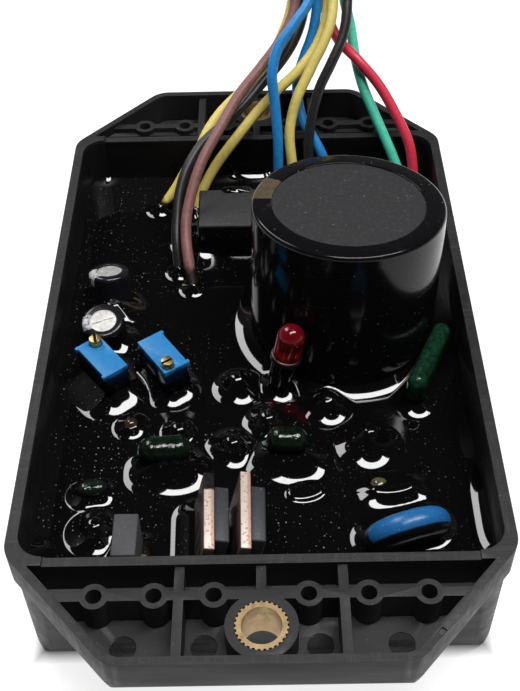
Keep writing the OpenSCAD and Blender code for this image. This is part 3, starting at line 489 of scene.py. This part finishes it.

# The trimmers are moulded blue boxes with a lug at each end of one side. Their sides are painted black
# low down where the resin has wetted them and dark blue above, partly the resin's wet film and partly
# painted shade, and each has a slotted brass screw that turns.
trimmer_blue, tree, shader = new_finish("blue_moulding", (0.023, 0.216, 0.611), 0.42)
place = where(tree)
z = along_axes(tree, place)[2]
tone = mixed(tree, noise(tree, place, 700, 5), (0.012, 0.195, 0.52), (0.03, 0.29, 0.66))
tone = mixed(tree, specks(tree, place, 1700, 0.2, 0.3), tone, (0.01, 0.1, 0.34))
# The dark blue band up the sides is partly the resin's wet film and partly painted shade; the black low
# down is where the resin wets them.
resin_and_shade_line = calc(tree, "ADD", z, times(tree, noise(tree, place, 330, 3), -1.6))
below = spread(tree, resin_and_shade_line, 24.2, 25.2, 1, 0)
tone = mixed(tree, below, tone, (0.004, 0.016, 0.05))
tone = mixed(tree, spread(tree, resin_and_shade_line, 21.6, 23.6, 1, 0), tone, (0.004, 0.004, 0.006))
paint(tree, shader, tone, spread(tree, below, 0, 1, 0.42, 0.12))
bumpy(tree, shader, noise(tree, place, 2200, 4), 0.14, 0.0002)
screw_seat, slot_floor, slot_r = 26.2, 1.2, 1.04
for side, screw_at in (("left", (-29.6625, -5.5942)), ("right", (-16.2358, -11.383))):
    set_piece(
        softened("trimmer_" + side, 0.14), "trimmer_box_" + side, trimmer_blue,
        ["trimmer_" + side],
    )
    screw_brass, tree, shader = new_finish("screw_brass_" + side, (0.6, 0.42, 0.18), 0.36, 1.0)
    place = where(tree)
    x, y, z = along_axes(tree, where(tree, at=(*screw_at, screw_seat)))
    tone = mixed(tree, noise(tree, place, 1400, 4), (0.42, 0.27, 0.1), (0.74, 0.54, 0.26))
    off_axis = calc(tree, "SQRT", calc(tree, "ADD", times(tree, x, x), times(tree, y, y)))
    in_slot = times(
        tree, calc(tree, "LESS_THAN", z, slot_floor), calc(tree, "LESS_THAN", off_axis, slot_r),
    )
    paint(tree, shader, mixed(tree, in_slot, tone, (0.05, 0.035, 0.02)))
    bumpy(tree, shader, noise(tree, place, 3000, 3), 0.2, 0.0001)
    set_piece(
        softened("trimmer_" + side + "_screw", 0.08), "trimmer_screw_" + side, screw_brass,
        ["trimmer_" + side + "_screw"], body=side + "_adjuster",
    )

# The indicator is a red lamp in tinted clear epoxy, with a collar round its base. It stands on a black
# plastic spacer and leans to the right. Its lens is painted brighter red low down as a painted glow, and
# its collar is painted dark as painted shade.
lamp_at, lamp_lean, spacer_h, lens_h = (2.31, -10.28, 12.399), 10, 14.2, 6.8
lamp_place = local(lamp_at, (0, lamp_lean, 0)) @ Matrix.Translation((0, 0, spacer_h))
lens_r, dome_from = 2.5, lens_h - 1.5
lens_outline = (
    [(0, 0), (2.72, 0), (2.85, 0.14), (2.85, 0.86), (2.7, 1.02), (lens_r, 1.08), (lens_r, dome_from)]
    + round_off((0, dome_from), lens_r, 4, 90, 14)
)
red_epoxy, tree, shader = new_finish("red_epoxy", (0.3, 0.004, 0.008), 0.1, IOR=1.5)
place = where(tree)
z = along_axes(tree, where(tree, at=tuple(lamp_place.translation), turn=(0, lamp_lean, 0)))[2]
cloud = noise(tree, place, 520, 3)
# A painted glow: the lens is painted bright red a little above its collar, standing in for light inside
# it.
painted_glow = times(tree, spread(tree, z, 4.4, 2.4), spread(tree, cloud, 0.35, 0.6))
tone = mixed(tree, cloud, (0.09, 0.002, 0.005), (0.24, 0.004, 0.01))
tone = mixed(tree, painted_glow, tone, (0.68, 0.012, 0.012))
# The collar is painted dark: painted shade at the foot of the lens.
tone = mixed(tree, spread(tree, z, 1.8, 1.2), tone, (0.03, 0.001, 0.002))
paint(tree, shader, tone, spread(tree, z, 1.6, 1.0, 0.1, 0.35))
bumpy(tree, shader, noise(tree, place, 900, 3), 0.05, 0.0002)
set_piece(
    put_down(turned(lens_outline, 72), lamp_place), "lamp_lens", red_epoxy, ["indicator_led"],
)

spacer_plastic, tree, shader = new_finish("wet_black_spacer", (0.006, 0.005, 0.005), 0.12, IOR=1.5)
place = where(tree)
tone = mixed(tree, noise(tree, place, 600, 4), (0.004, 0.003, 0.004), (0.014, 0.008, 0.008))
paint(tree, shader, tone)
bumpy(tree, shader, noise(tree, place, 400, 3), 0.1, 0.0004)
set_piece(softened("led_spacer", 0.1), "lamp_spacer", spacer_plastic, ["led_spacer"])

# The film capacitors are flat windings dipped in dark green lacquer, which leaves a lumpy shining skin.
# The resin wets their lower half black.
for name, wet_from, wet_to, deep, light in (
    ("side", 19.6, 21.2, (0.004, 0.02, 0.01), (0.011, 0.055, 0.027)),
    ("left", 21.2, 22.6, (0.002, 0.006, 0.003), (0.006, 0.016, 0.008)),
    ("middle", 21.4, 22.8, (0.002, 0.006, 0.003), (0.005, 0.014, 0.007)),
    ("small", 19.6, 20.4, (0.004, 0.01, 0.006), (0.01, 0.022, 0.013)),
):
    lacquer, tree, shader = new_finish("green_lacquer_" + name, light, 0.22, IOR=1.5)
    place = where(tree)
    z = along_axes(tree, place)[2]
    lumps = noise(tree, place, 900, 4)
    tone = mixed(tree, spread(tree, lumps, 0.35, 0.65), deep, light)
    ragged = calc(tree, "ADD", z, times(tree, noise(tree, place, 260, 3), -1.2))
    wet = spread(tree, ragged, wet_from, wet_to, 1, 0)
    paint(tree, shader, mixed(tree, wet, tone, (0.004, 0.005, 0.005)), spread(tree, wet, 0, 1, 0.1, 0.05))
    bumpy(tree, shader, noise(tree, place, 1300, 2), 0.3, 0.0004)
    set_piece(
        softened("film_capacitor_" + name, 0.05, least=60), "film_winding_" + name, lacquer,
        ["film_capacitor_" + name],
    )

# Each power device is a plated copper tab with a black moulded body on its right-hand face. The sawn top
# of the tab shows pale plating with copper along its edges, and its left face is stained by the resin.
for side, at, lean, turn in (
    ("left", (-12.5, -44.4, 12.949), 13, 1.5), ("right", (-6.5, -44.3, 12.877), 12, 0.5),
):
    plated, tree, shader = new_finish("plated_copper_" + side, (0.72, 0.58, 0.5), 0.5, 0.25)
    place = where(tree)
    x, y, z = along_axes(tree, where(tree, at=at, turn=(0, lean, turn)))
    on_top = spread(tree, z, 16.0, 16.3)
    pits = spread(tree, noise(tree, place, 2200, 4), 0.56, 0.66)
    cream = mixed(tree, noise(tree, place, 900, 5), (0.7, 0.55, 0.45), (0.86, 0.74, 0.65))
    cream = mixed(tree, spread(tree, x, 1.05, 1.2), cream, (0.66, 0.42, 0.33))
    edge = calc(tree, "MAXIMUM", spread(tree, x, 0.14, 0.05), spread(tree, x, 1.56, 1.64))
    cream = mixed(tree, times(tree, edge, 0.7), cream, (0.2, 0.07, 0.04))
    cream = mixed(tree, times(tree, pits, 0.75), cream, (0.24, 0.14, 0.1))
    if side == "left":
        far_end = spread(tree, calc(tree, "ADD", y, noise(tree, place, 700, 2)), 4.2, 4.5)
        cream = mixed(tree, far_end, cream, (0.01, 0.008, 0.008))
    streaks = noise(tree, where(tree, (900, 900, 120)), 1, 5)
    stained = mixed(tree, spread(tree, streaks, 0.35, 0.65), (0.012, 0.01, 0.01), (0.1, 0.08, 0.07))
    stained = mixed(tree, spread(tree, z, 13.2, 15.6), stained, (0.13, 0.1, 0.085))
    paint(tree, shader, mixed(tree, on_top, stained, cream), spread(tree, streaks, 0.3, 0.7, 0.3, 0.6))
    bumpy(tree, shader, pits, 0.25, 0.0003)
    set_piece(
        softened("power_tab_" + side, 0.1), "power_tab_" + side + "_plate", plated,
        ["power_tab_" + side],
    )

moulding, tree, shader = new_finish("device_moulding", (0.035, 0.037, 0.042), 0.5)
place = where(tree)
tone = mixed(tree, noise(tree, place, 1100, 5), (0.022, 0.024, 0.029), (0.06, 0.063, 0.07))
tone = mixed(tree, specks(tree, place, 1900, 0.3, 0.3), tone, (0.17, 0.17, 0.18))
paint(tree, shader, tone)
bumpy(tree, shader, noise(tree, place, 2600, 3), 0.2, 0.0002)
for side in ("left", "right"):
    set_piece(
        softened("power_body_" + side, 0.3), "power_moulding_" + side, moulding,
        ["power_body_" + side],
    )

# The driver transistor is moulded all over in matt grey and stands in front of the near cross wall.
# The resin has wetted its foot.
matt_grey, tree, shader = new_finish("matt_grey_moulding", (0.06, 0.06, 0.064), 0.62)
place = where(tree)
z = along_axes(tree, place)[2]
tone = mixed(tree, noise(tree, place, 1300, 5), (0.048, 0.048, 0.052), (0.082, 0.082, 0.087))
tone = mixed(tree, specks(tree, place, 1500, 0.16, 0.25), tone, (0.2, 0.2, 0.2))
tone = mixed(tree, spread(tree, z, 20.5, 18.9), tone, (0.008, 0.008, 0.009))
paint(tree, shader, tone)
bumpy(tree, shader, noise(tree, place, 3000, 3), 0.22, 0.0002)
set_piece(
    softened("driver_transistor", 0.25), "driver_moulding", matt_grey,
    ["driver_transistor"],
)

# The varistor is a disc of sintered oxide dipped in blue epoxy. It stands on its edge and leans towards
# the near end, and the resin has run over its near face.
varistor_at, varistor_turn = (23.5, -43.6, 20.94), (112, 0, 16)
varistor_place = (
    Matrix.Translation(varistor_at)
    @ Matrix.Rotation(math.radians(varistor_turn[2]), 4, "Z")
    @ Matrix.Rotation(math.radians(varistor_turn[0]), 4, "X")
)
dip_half = 2.3
dipped_outline = (
    [(0, -dip_half), (3.0, -2.28)]
    + round_off((5.0, 0), dip_half, -84, 84, 20)
    + [(3.0, 2.28), (0, dip_half)]
)
blue_epoxy, tree, shader = new_finish("blue_epoxy_dip", (0.017, 0.171, 0.515), 0.3, IOR=1.5)
place = where(tree)
z = along_axes(tree, where(tree, at=varistor_at, turn=varistor_turn))[2]
tone = mixed(tree, noise(tree, place, 1500, 5), (0.011, 0.12, 0.35), (0.024, 0.18, 0.46))
tone = mixed(tree, specks(tree, place, 2200, 0.26, 0.35), tone, (0.09, 0.34, 0.72))
tone = mixed(tree, specks(tree, place, 1700, 0.2, 0.25), tone, (0.006, 0.07, 0.26))
near_face = calc(tree, "ADD", z, times(tree, noise(tree, place, 260, 2), 0.3))
height = along_axes(tree, place)[2]
run_down = calc(
    tree, "MAXIMUM", spread(tree, near_face, 0.95, 1.2), spread(tree, height, 23.6, 22.8),
)
run_tone = mixed(tree, run_down, tone, (0.004, 0.005, 0.008))
paint(tree, shader, run_tone, spread(tree, run_down, 0, 1, 0.3, 0.4))
bumpy(tree, shader, noise(tree, place, 1800, 3), 0.12, 0.0003)
set_piece(
    put_down(turned(dipped_outline, 96), varistor_place), "varistor_dip", blue_epoxy,
    ["varistor"],
)

# Two beads stand half out of the resin: a ceramic capacitor in brown wax and a diode in olive glass.
# Both are wetted by the resin that creeps up them.
wax_tones = ((0.012, 0.007, 0.004), (0.075, 0.045, 0.02))
glass_tones = ((0.03, 0.026, 0.01), (0.13, 0.115, 0.05))
for node, name, slot, (deep, light) in (
    ("ceramic_capacitor", "ceramic_bead", "brown_ceramic", wax_tones),
    ("glass_diode", "diode_bead", "diode_glass", glass_tones),
):
    waxed, tree, shader = new_finish(name + "_wax", light, 0.14, IOR=1.5, Coat_Weight=0.5)
    place = where(tree)
    paint(tree, shader, mixed(tree, spread(tree, noise(tree, place, 900, 3), 0.35, 0.65), deep, light))
    bumpy(tree, shader, noise(tree, place, 700, 3), 0.15, 0.0003)
    set_piece(softened(node, 0.02, least=80), name, waxed, [node])

# The leads are stranded wire in soft coloured insulation. Each is soldered to the board, comes up
# through the resin, and runs over the far end in one loose bundle to the connector on the table.
lead_d, root_z, case_end = 2.2, 12, 60.0
bundle_x, plug_y, plug_z, pin_pitch = 14, 184, 5, 4.2
bundle_line = [(78, 60), (92, 64), (108, 61), (123, 51), (138, 36), (152, 20), (165, 8.5), (176, 5)]


def lead_route(points, slot, way):
    mouth = Vector((*points[0], resin_level))
    lean = (Vector(points[1]) - mouth).normalized()
    route = [mouth - lean * (resin_level - root_z) / lean.z, mouth] + [Vector(p) for p in points[1:]]
    last = len(bundle_line) - 1
    for k, (y, z) in enumerate(bundle_line):
        share = k / last
        before, after = bundle_line[max(k - 1, 0)], bundle_line[min(k + 1, last)]
        step = Vector((after[0] - before[0], after[1] - before[1])).normalized()
        aside = slot[0] * (1 - share) + way[0] * pin_pitch * share
        below = slot[1] * (1 - share) - way[1] * pin_pitch / 2 * share
        route.append(Vector((bundle_x + aside, y + below * step.y, z - below * step.x)))
    for y in (plug_y - 2, plug_y + 6):
        route.append(Vector((bundle_x + way[0] * pin_pitch, y, plug_z + way[1] * pin_pitch / 2)))
    return [mm * p for p in route]


def insulation(name, dark, pale, rough, wet_to=0.0):
    material, tree, shader = new_finish(name, pale, rough, Specular_IOR_Level=0.45)
    place = where(tree)
    tone = mixed(tree, spread(tree, noise(tree, place, 1100, 5), 0.3, 0.7), dark, pale)
    if wet_to:
        y, z = along_axes(tree, place)[1:]
        ragged = calc(tree, "ADD", z, times(tree, noise(tree, place, 800, 2), -2.0))
        wet = spread(tree, ragged, wet_to - 1.6, wet_to - 0.6, 1, 0)
        wet = times(tree, wet, calc(tree, "LESS_THAN", y, case_end))
        tone = mixed(tree, wet, tone, (0.016, 0.009, 0.005))
    paint(tree, shader, tone)
    bumpy(tree, shader, noise(tree, place, 3600, 3), 0.18, 0.0002)
    return material


yellow_tones = ((0.9, 0.69, 0.14), (0.97, 0.83, 0.27))
lead_finishes = {
    "brown": insulation("brown_insulation", (0.23, 0.095, 0.085), (0.33, 0.145, 0.13), 0.45, 22.2),
    "black": insulation("black_insulation", (0.01, 0.01, 0.011), (0.026, 0.026, 0.028), 0.38),
    "yellow": insulation("yellow_insulation", *yellow_tones, 0.4),
    "yellow_tip": insulation("yellow_insulation_wet", *yellow_tones, 0.4, 21.0),
    "blue": insulation("blue_insulation", (0.016, 0.25, 0.66), (0.03, 0.33, 0.8), 0.36),
    "green": insulation("green_insulation", (0.075, 0.7, 0.47), (0.13, 0.83, 0.59), 0.38),
    "red": insulation("red_insulation", (0.84, 0.036, 0.08), (0.94, 0.055, 0.11), 0.38),
}
leads = [
    ("brown", "brown", 226.5, (-6, -0.8), (-2, 1), [
        (-13, 16), (-14, 20.5, 22.5), (-14.5, 25.5, 25.5), (-14, 30, 28.5), (-11.5, 37, 33.5),
        (-7.5, 44, 37.5), (-3.5, 51.5, 40.5), (1.2, 58, 43), (5.7, 63.5, 46.5), (8.6, 69, 51.5)]),
    ("black_left", "black", 222.6, (-2.6, 3), (-1, -1), [
        (-16, 21), (-16.5, 25.5, 22.5), (-16.5, 30, 25), (-16, 34.5, 28), (-14.5, 39, 31),
        (-11.5, 44, 33.5), (-7, 48, 35.5), (-2.5, 52.5, 37.5), (1, 56.5, 39.5), (5, 60.5, 42),
        (8, 64.5, 44.5), (10, 68.5, 47.5), (11, 73, 51)]),
    ("yellow_left", "yellow_tip", 209.9, (-4.8, 1.5), (-2, -1), [
        (-21, 41), (-17.5, 44, 22.5), (-15, 46, 26), (-12.5, 49, 28.5), (-10.5, 52.5, 31),
        (-7.5, 56, 33.5), (-3.5, 59, 36), (1, 62, 38.5), (5, 66.5, 43.5), (8, 71.5, 49.5)]),
    ("yellow_middle", "yellow", 209.9, (1.9, 1.2), (1, -1), [
        (-13.5, 40), (-12, 43, 22), (-9, 46.5, 26), (-4.5, 50, 30.5), (0, 53.5, 34.5),
        (4.5, 56.5, 38), (9.5, 59.5, 41.5), (13.5, 63.5, 45.5), (15.5, 68.5, 50.5)]),
    ("blue_left", "blue", 200.3, (-1.9, -1.6), (-1, 1), [
        (4.5, 44.5), (4.5, 45.5, 25.5), (4.5, 48, 31.5), (4, 52, 38), (3.5, 55, 43),
        (4.8, 58.5, 47), (8.2, 62, 50.5), (12, 67.5, 54.5)]),
    ("yellow_right", "yellow", 199.0, (2.4, -1.2), (1, 1), [
        (7.5, 44.5), (7.5, 45.5, 26), (7, 48.5, 31.5), (7.5, 51, 35), (9, 53.5, 39),
        (12, 57.5, 43.5), (15, 61.5, 48), (16.5, 66.5, 52.5)]),
    ("blue_right", "blue", 195.1, (-0.6, 0.8), (0, 1), [
        (16.5, 46.5), (15.5, 47, 23), (14, 48.5, 27), (12, 51, 30), (10, 53.5, 32.5),
        (9, 57, 35.5), (9, 60.5, 38.5), (10.5, 63.5, 42), (12.5, 66.5, 46.5), (13.5, 71, 52)]),
    ("black_right", "black", 198.8, (5.7, -1.2), (2, 1), [
        (10.5, 44), (11, 45.5, 26), (11, 48, 31), (12, 51.5, 36), (13.5, 54.5, 40),
        (16, 57.5, 44), (18.5, 61.5, 48), (19.5, 66.5, 52.5)]),
    ("green", "green", 197.2, (4.4, 0.9), (2, -1), [
        (31, 45), (30.5, 46, 23.5), (28.5, 49, 28), (25.5, 54, 33), (23, 58.5, 37.5),
        (21.5, 63.5, 41.5), (20.5, 68, 46.5), (19, 72.5, 52)]),
    ("red", "red", 198.7, (0.6, 3.4), (0, -1), [
        (34, 44), (33.5, 45, 24), (32.5, 48.5, 29.5), (29.5, 53, 34.5), (26, 57, 39),
        (21.5, 60.5, 43), (17.5, 66, 45), (15, 73, 49.5)]),
]
for name, tint, length, slot, way, points in leads:
    route = lead_route(points, slot, way)
    curve = bpy.data.curves.new("lead_" + name, "CURVE")
    curve.dimensions = "3D"
    curve.bevel_depth = lead_d / 2 * mm
    curve.bevel_resolution = 4
    curve.resolution_u = 10
    curve.use_fill_caps = True
    spline = curve.splines.new("BEZIER")
    spline.bezier_points.add(len(route) - 1)
    for k, point in enumerate(spline.bezier_points):
        before, after = route[max(k - 1, 0)], route[min(k + 1, len(route) - 1)]
        point.co = route[k]
        point.handle_left = route[k] - (after - before) / 6
        point.handle_right = route[k] + (after - before) / 6
    curve.materials.append(lead_finishes[tint])
    lead = bpy.data.objects.new("lead_" + name, curve)
    scene.collection.objects.link(lead)
    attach(lead, "root")
    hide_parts("wire_" + name)

# The potting resin is black epoxy, poured warm over the board. It creeps up every wall and part
# that it touches and leaves a thin skin over the low transistors.
resin_bottom = 2.2
half_w, half_l, corner = 37.19, 52.49, 4.2


def turned_to(x, y, at, turn):
    a = math.radians(turn)
    u = (x - at[0]) * math.cos(a) + (y - at[1]) * math.sin(a)
    v = (y - at[1]) * math.cos(a) - (x - at[0]) * math.sin(a)
    return u, v


def from_disc(x, y, at, r):
    return np.hypot(x - at[0], y - at[1]) - r


def from_block(x, y, at, size, turn=0.0):
    u, v = turned_to(x, y, at, turn)
    u, v = np.abs(u) - size[0] / 2, np.abs(v) - size[1] / 2
    return np.hypot(np.maximum(u, 0), np.maximum(v, 0)) + np.minimum(np.maximum(u, v), 0)


def from_pill(x, y, at, length, width, turn=0.0):
    u, v = turned_to(x, y, at, turn)
    run = (length - width) / 2
    return np.hypot(u - np.clip(u, -run, run), v) - width / 2


def from_oval(x, y, at, semi, turn=0.0):
    u, v = turned_to(x, y, at, turn)
    k = np.hypot(u / semi[0], v / semi[1])
    return (k - 1) * k / np.maximum(np.hypot(u / semi[0] ** 2, v / semi[1] ** 2), 1e-6)


def creep(off, rise, reach, most=0.9, bend=1.6):
    t = 1 - off / reach
    return rise * (np.clip(t, 0, 1) ** bend + bend * np.clip(t - 1, 0, most))


def skin(x, y, at, rise, size, turn=0.0, power=3.6):
    u, v = turned_to(x, y, at, turn)
    return rise * np.exp(-np.hypot(u / size[0], v / size[1]) ** power)


def resin_height(x, y):
    lifts = [
        creep(from_disc(x, y, (15.9, 6.2), 17.5), 1.5, 3.7),
        creep(25.2 - y, 1.45, 4.4) * np.exp(-((x + 11.5) / 4.2) ** 2) * (y < 30),
        creep(from_block(x, y, (-2.1, 31.2), (20, 12)), 0.4, 1.7),
        creep(from_disc(x, y, (-28.3, 9.5), 4.1), 1.4, 3.4),
        creep(from_disc(x, y, (-29.2, 2.75), 4.1), 1.3, 3.2),
        creep(from_block(x, y, (-28.3, -8.8), (6.5, 1.8), 128) - 1.5, 2.2, 5.2),
        creep(from_block(x, y, (-17.4, -8.1), (6.5, 1.8), -55.5) - 1.5, 1.4, 3.4),
        creep(from_disc(x, y, (3.42, -10.28), 2.3), 1.0, 2.6),
        creep(from_pill(x, y, (30.8, -8.4), 17, 3.4, 65), 1.2, 2.9),
        creep(from_oval(x, y, (-15.4, -29.2), (4.6, 2.6), 2), 1.5, 3.8),
        creep(from_oval(x, y, (4.9, -27.2), (4.6, 2.6), -3), 1.5, 3.8),
        creep(from_pill(x, y, (-28.4, -33.8), 5.4, 3.2, 8), 0.8, 2.0),
        creep(from_pill(x, y, (-10.2, -44.6), 13.0, 2.0, 91.5), 1.7, 3.8),
        creep(from_block(x, y, (-2.2, -44.3), (2.6, 10.3), 0.5), 1.0, 2.2),
        creep(from_block(x, y, (-21.1, -47.5), (3.9, 7.7)), 1.1, 2.7),
        creep(from_pill(x, y, (23.1, -42.2), 13.4, 5.2, 16), 1.2, 2.6),
        creep(from_disc(x, y, (-23, -19.2), 1.4), 1.0, 2.2, 0.1),
        creep(from_disc(x, y, (20, -33.2), 1.7), 0.5, 1.6, 0.1),
        creep(from_oval(x, y, (22.2, -34.3), (3.6, 1.3), 6), 1.2, 3.0, 0.1),
    ]
    for at, rise, skirt_at, skirt in (
        ((-4.2, -9.4), 2.5, (-3.9, -10.5), 1.4), ((-4.7, -24.3), 2.5, (-4.9, -24.6), 1.4),
        ((1.2, -18.9), 2.3, (1.6, -18.9), 1.4), ((12.2, -14.4), 2.1, (12.1, -15.4), 1.4),
        ((19.3, -23.0), 3.3, (18.4, -24.2), 1.8), ((-27.3, -41), 2.3, (-27.2, -41.4), 1.4),
    ):
        lifts.append(skin(x, y, at, rise, (2.5, 2.4)))
        lifts.append(creep(from_disc(x, y, skirt_at, 1.9), skirt, 2.5 * skirt, 0.3))
    lifts.append(skin(x, y, (-14.4, -20.6), 1.9, (2.2, 2.2), power=3))
    lifts.append(creep(from_oval(x, y, (7.6, -34.0), (2.9, 1.5), 12), 0.45, 0.9, 0))
    for mouth, lean in (
        ((-13, 16), 40), ((-16, 21), 40), ((-21, 41), 46), ((-13.5, 40), 40), ((4.5, 44.5), 8),
        ((7.5, 44.5), 8), ((16.5, 46.5), 14), ((10.5, 44), 12), ((31, 45), 13), ((34, 44), 12),
    ):
        lifts.append(creep(from_disc(x, y, mouth, 1.1 / math.cos(math.radians(lean))), 0.8, 1.8))
    lifts.append(creep(half_w - x, 1.3, 2.8) * np.exp(-((y + 38.5) / 9) ** 4))
    lifts.append(creep(half_w + x, 2.2, 4.8) * np.exp(-((y + 46.5) / 3.0) ** 4))
    lifts.append(creep(half_l - y, 1.6, 3.0) * np.exp(-((x + 33.6) / 1.6) ** 2))
    lifts.append(creep(half_l - y, 1.3, 2.6) * np.exp(-((x + 2.0) / 6.0) ** 4))
    return sum(lift ** 4 for lift in lifts) ** 0.25


resin_bm = bmesh.new()
bmesh.ops.create_grid(resin_bm, x_segments=236, y_segments=332, size=1)
rim = [e for e in resin_bm.edges if e.is_boundary]
for v in resin_bm.verts:
    x, y = v.co.x * half_w, v.co.y * half_l
    u = (abs(x) - half_w + corner) / corner
    w = (abs(y) - half_l + corner) / corner
    if u > 0 and w > 0:
        x = math.copysign(half_w - corner + corner * u * math.sqrt(1 - w * w / 2), x)
        y = math.copysign(half_l - corner + corner * w * math.sqrt(1 - u * u / 2), y)
    v.co = (x, y, resin_level)
spots = np.array([v.co[:2] for v in resin_bm.verts])
for v, lift in zip(resin_bm.verts, resin_height(spots[:, 0], spots[:, 1])):
    v.co.z += lift
skirt = bmesh.ops.extrude_edge_only(resin_bm, edges=rim)["geom"]
for v in skirt:
    if isinstance(v, bmesh.types.BMVert):
        v.co.z = resin_bottom
bmesh.ops.contextual_create(resin_bm, geom=[e for e in resin_bm.edges if e.is_boundary])
bmesh.ops.recalc_face_normals(resin_bm, faces=resin_bm.faces)
bmesh.ops.scale(resin_bm, verts=resin_bm.verts, vec=(mm, mm, mm))

resin, tree, shader = new_finish("black_epoxy", (0.0034, 0.0031, 0.0034), 0.05, IOR=1.65)
place = where(tree)
x, y = along_axes(tree, place)[:2]
leftward = spread(tree, calc(tree, "ADD", x, times(tree, y, 0.3)), -45, 25, 0.16, 0.0)
patches = spread(tree, calc(tree, "ADD", noise(tree, place, 60, 4), leftward), 0.48, 0.72)
coarse, fine = (
    times(tree, specks(tree, place, scale, size, share, True), patches)
    for scale, size, share in ((800, 0.12, 0.3), (1700, 0.14, 0.2))
)
dust = calc(tree, "MAXIMUM", coarse, fine)
# Three red spots in front of the indicator are a painted reflection of its red lens in the resin.
painted_red_reflection = 0.0
for spot_x, spot_y, spot_r in ((5.4, -15.7, 1.9), (7.7, -17.6, 1.5), (2.0, -14.6, 1.2)):
    off_x, off_y = calc(tree, "SUBTRACT", x, spot_x), calc(tree, "SUBTRACT", y, spot_y)
    off = calc(tree, "SQRT", calc(tree, "ADD", times(tree, off_x, off_x), times(tree, off_y, off_y)))
    painted_red_reflection = calc(tree, "MAXIMUM", painted_red_reflection, spread(tree, off, spot_r * 0.3, spot_r, 1, 0))
painted_red_reflection = times(tree, painted_red_reflection, noise(tree, place, 900, 3))
tone = mixed(tree, painted_red_reflection, (0.0034, 0.0031, 0.0034), (0.04, 0.001, 0.002))
dusty = mixed(tree, dust, tone, (0.17, 0.16, 0.15))
paint(tree, shader, dusty, spread(tree, dust, 0, 1, 0.05, 0.6))
bumpy(tree, shader, noise(tree, place, 160, 2), 0.03, 0.0004)
set_piece(
    resin_bm, "potting", resin,
    ["potting_resin"] + ["small_transistor_" + letter for letter in "abcdefgh"], crease=70,
)

# Two drips are left from the pour: one of resin over the relay's far edge, and one of amber flux
# beside the driver transistor. Each set as a flattened bead.
amber, tree, shader = new_finish("amber_flux", (0.3, 0.17, 0.05), 0.3, IOR=1.5)
place = where(tree)
paint(tree, shader, mixed(tree, noise(tree, place, 900, 3), (0.12, 0.06, 0.015), (0.5, 0.32, 0.12)))
for name, finish, slot, at, size in (
    ("relay_drip", resin, "resin", (-4.3, 36.9, 27.1), (3.3, 1.2, 0.6)),
    ("flux_drip", amber, "brown_ceramic", (-18.6, -48.4, 20.9), (0.6, 0.8, 1.4)),
):
    drip = bmesh.new()
    bmesh.ops.create_uvsphere(drip, u_segments=40, v_segments=20, radius=1)
    for v in drip.verts:
        broad = math.sin(5 * v.co.x + 1) * math.cos(4 * v.co.y)
        small = math.sin(9 * v.co.x + 6 * v.co.z)
        v.co *= 1 + 0.1 * broad + 0.06 * small
    bmesh.ops.scale(drip, verts=drip.verts, vec=size)
    set_piece(put_down(drip, Matrix.Translation(at)), name, finish)

# The connector is a moulded nylon housing for ten crimped contacts in two rows, with a latch on top.
# It lies on the table behind the case.
nylon, tree, shader = new_finish("white_nylon", (0.78, 0.77, 0.72), 0.42, Subsurface_Weight=0.1)
place = where(tree)
paint(tree, shader, mixed(tree, noise(tree, place, 200, 4), (0.7, 0.69, 0.63), (0.84, 0.83, 0.79)))
bumpy(tree, shader, noise(tree, place, 1800, 3), 0.1, 0.0002)
dress("wire_connector", nylon)
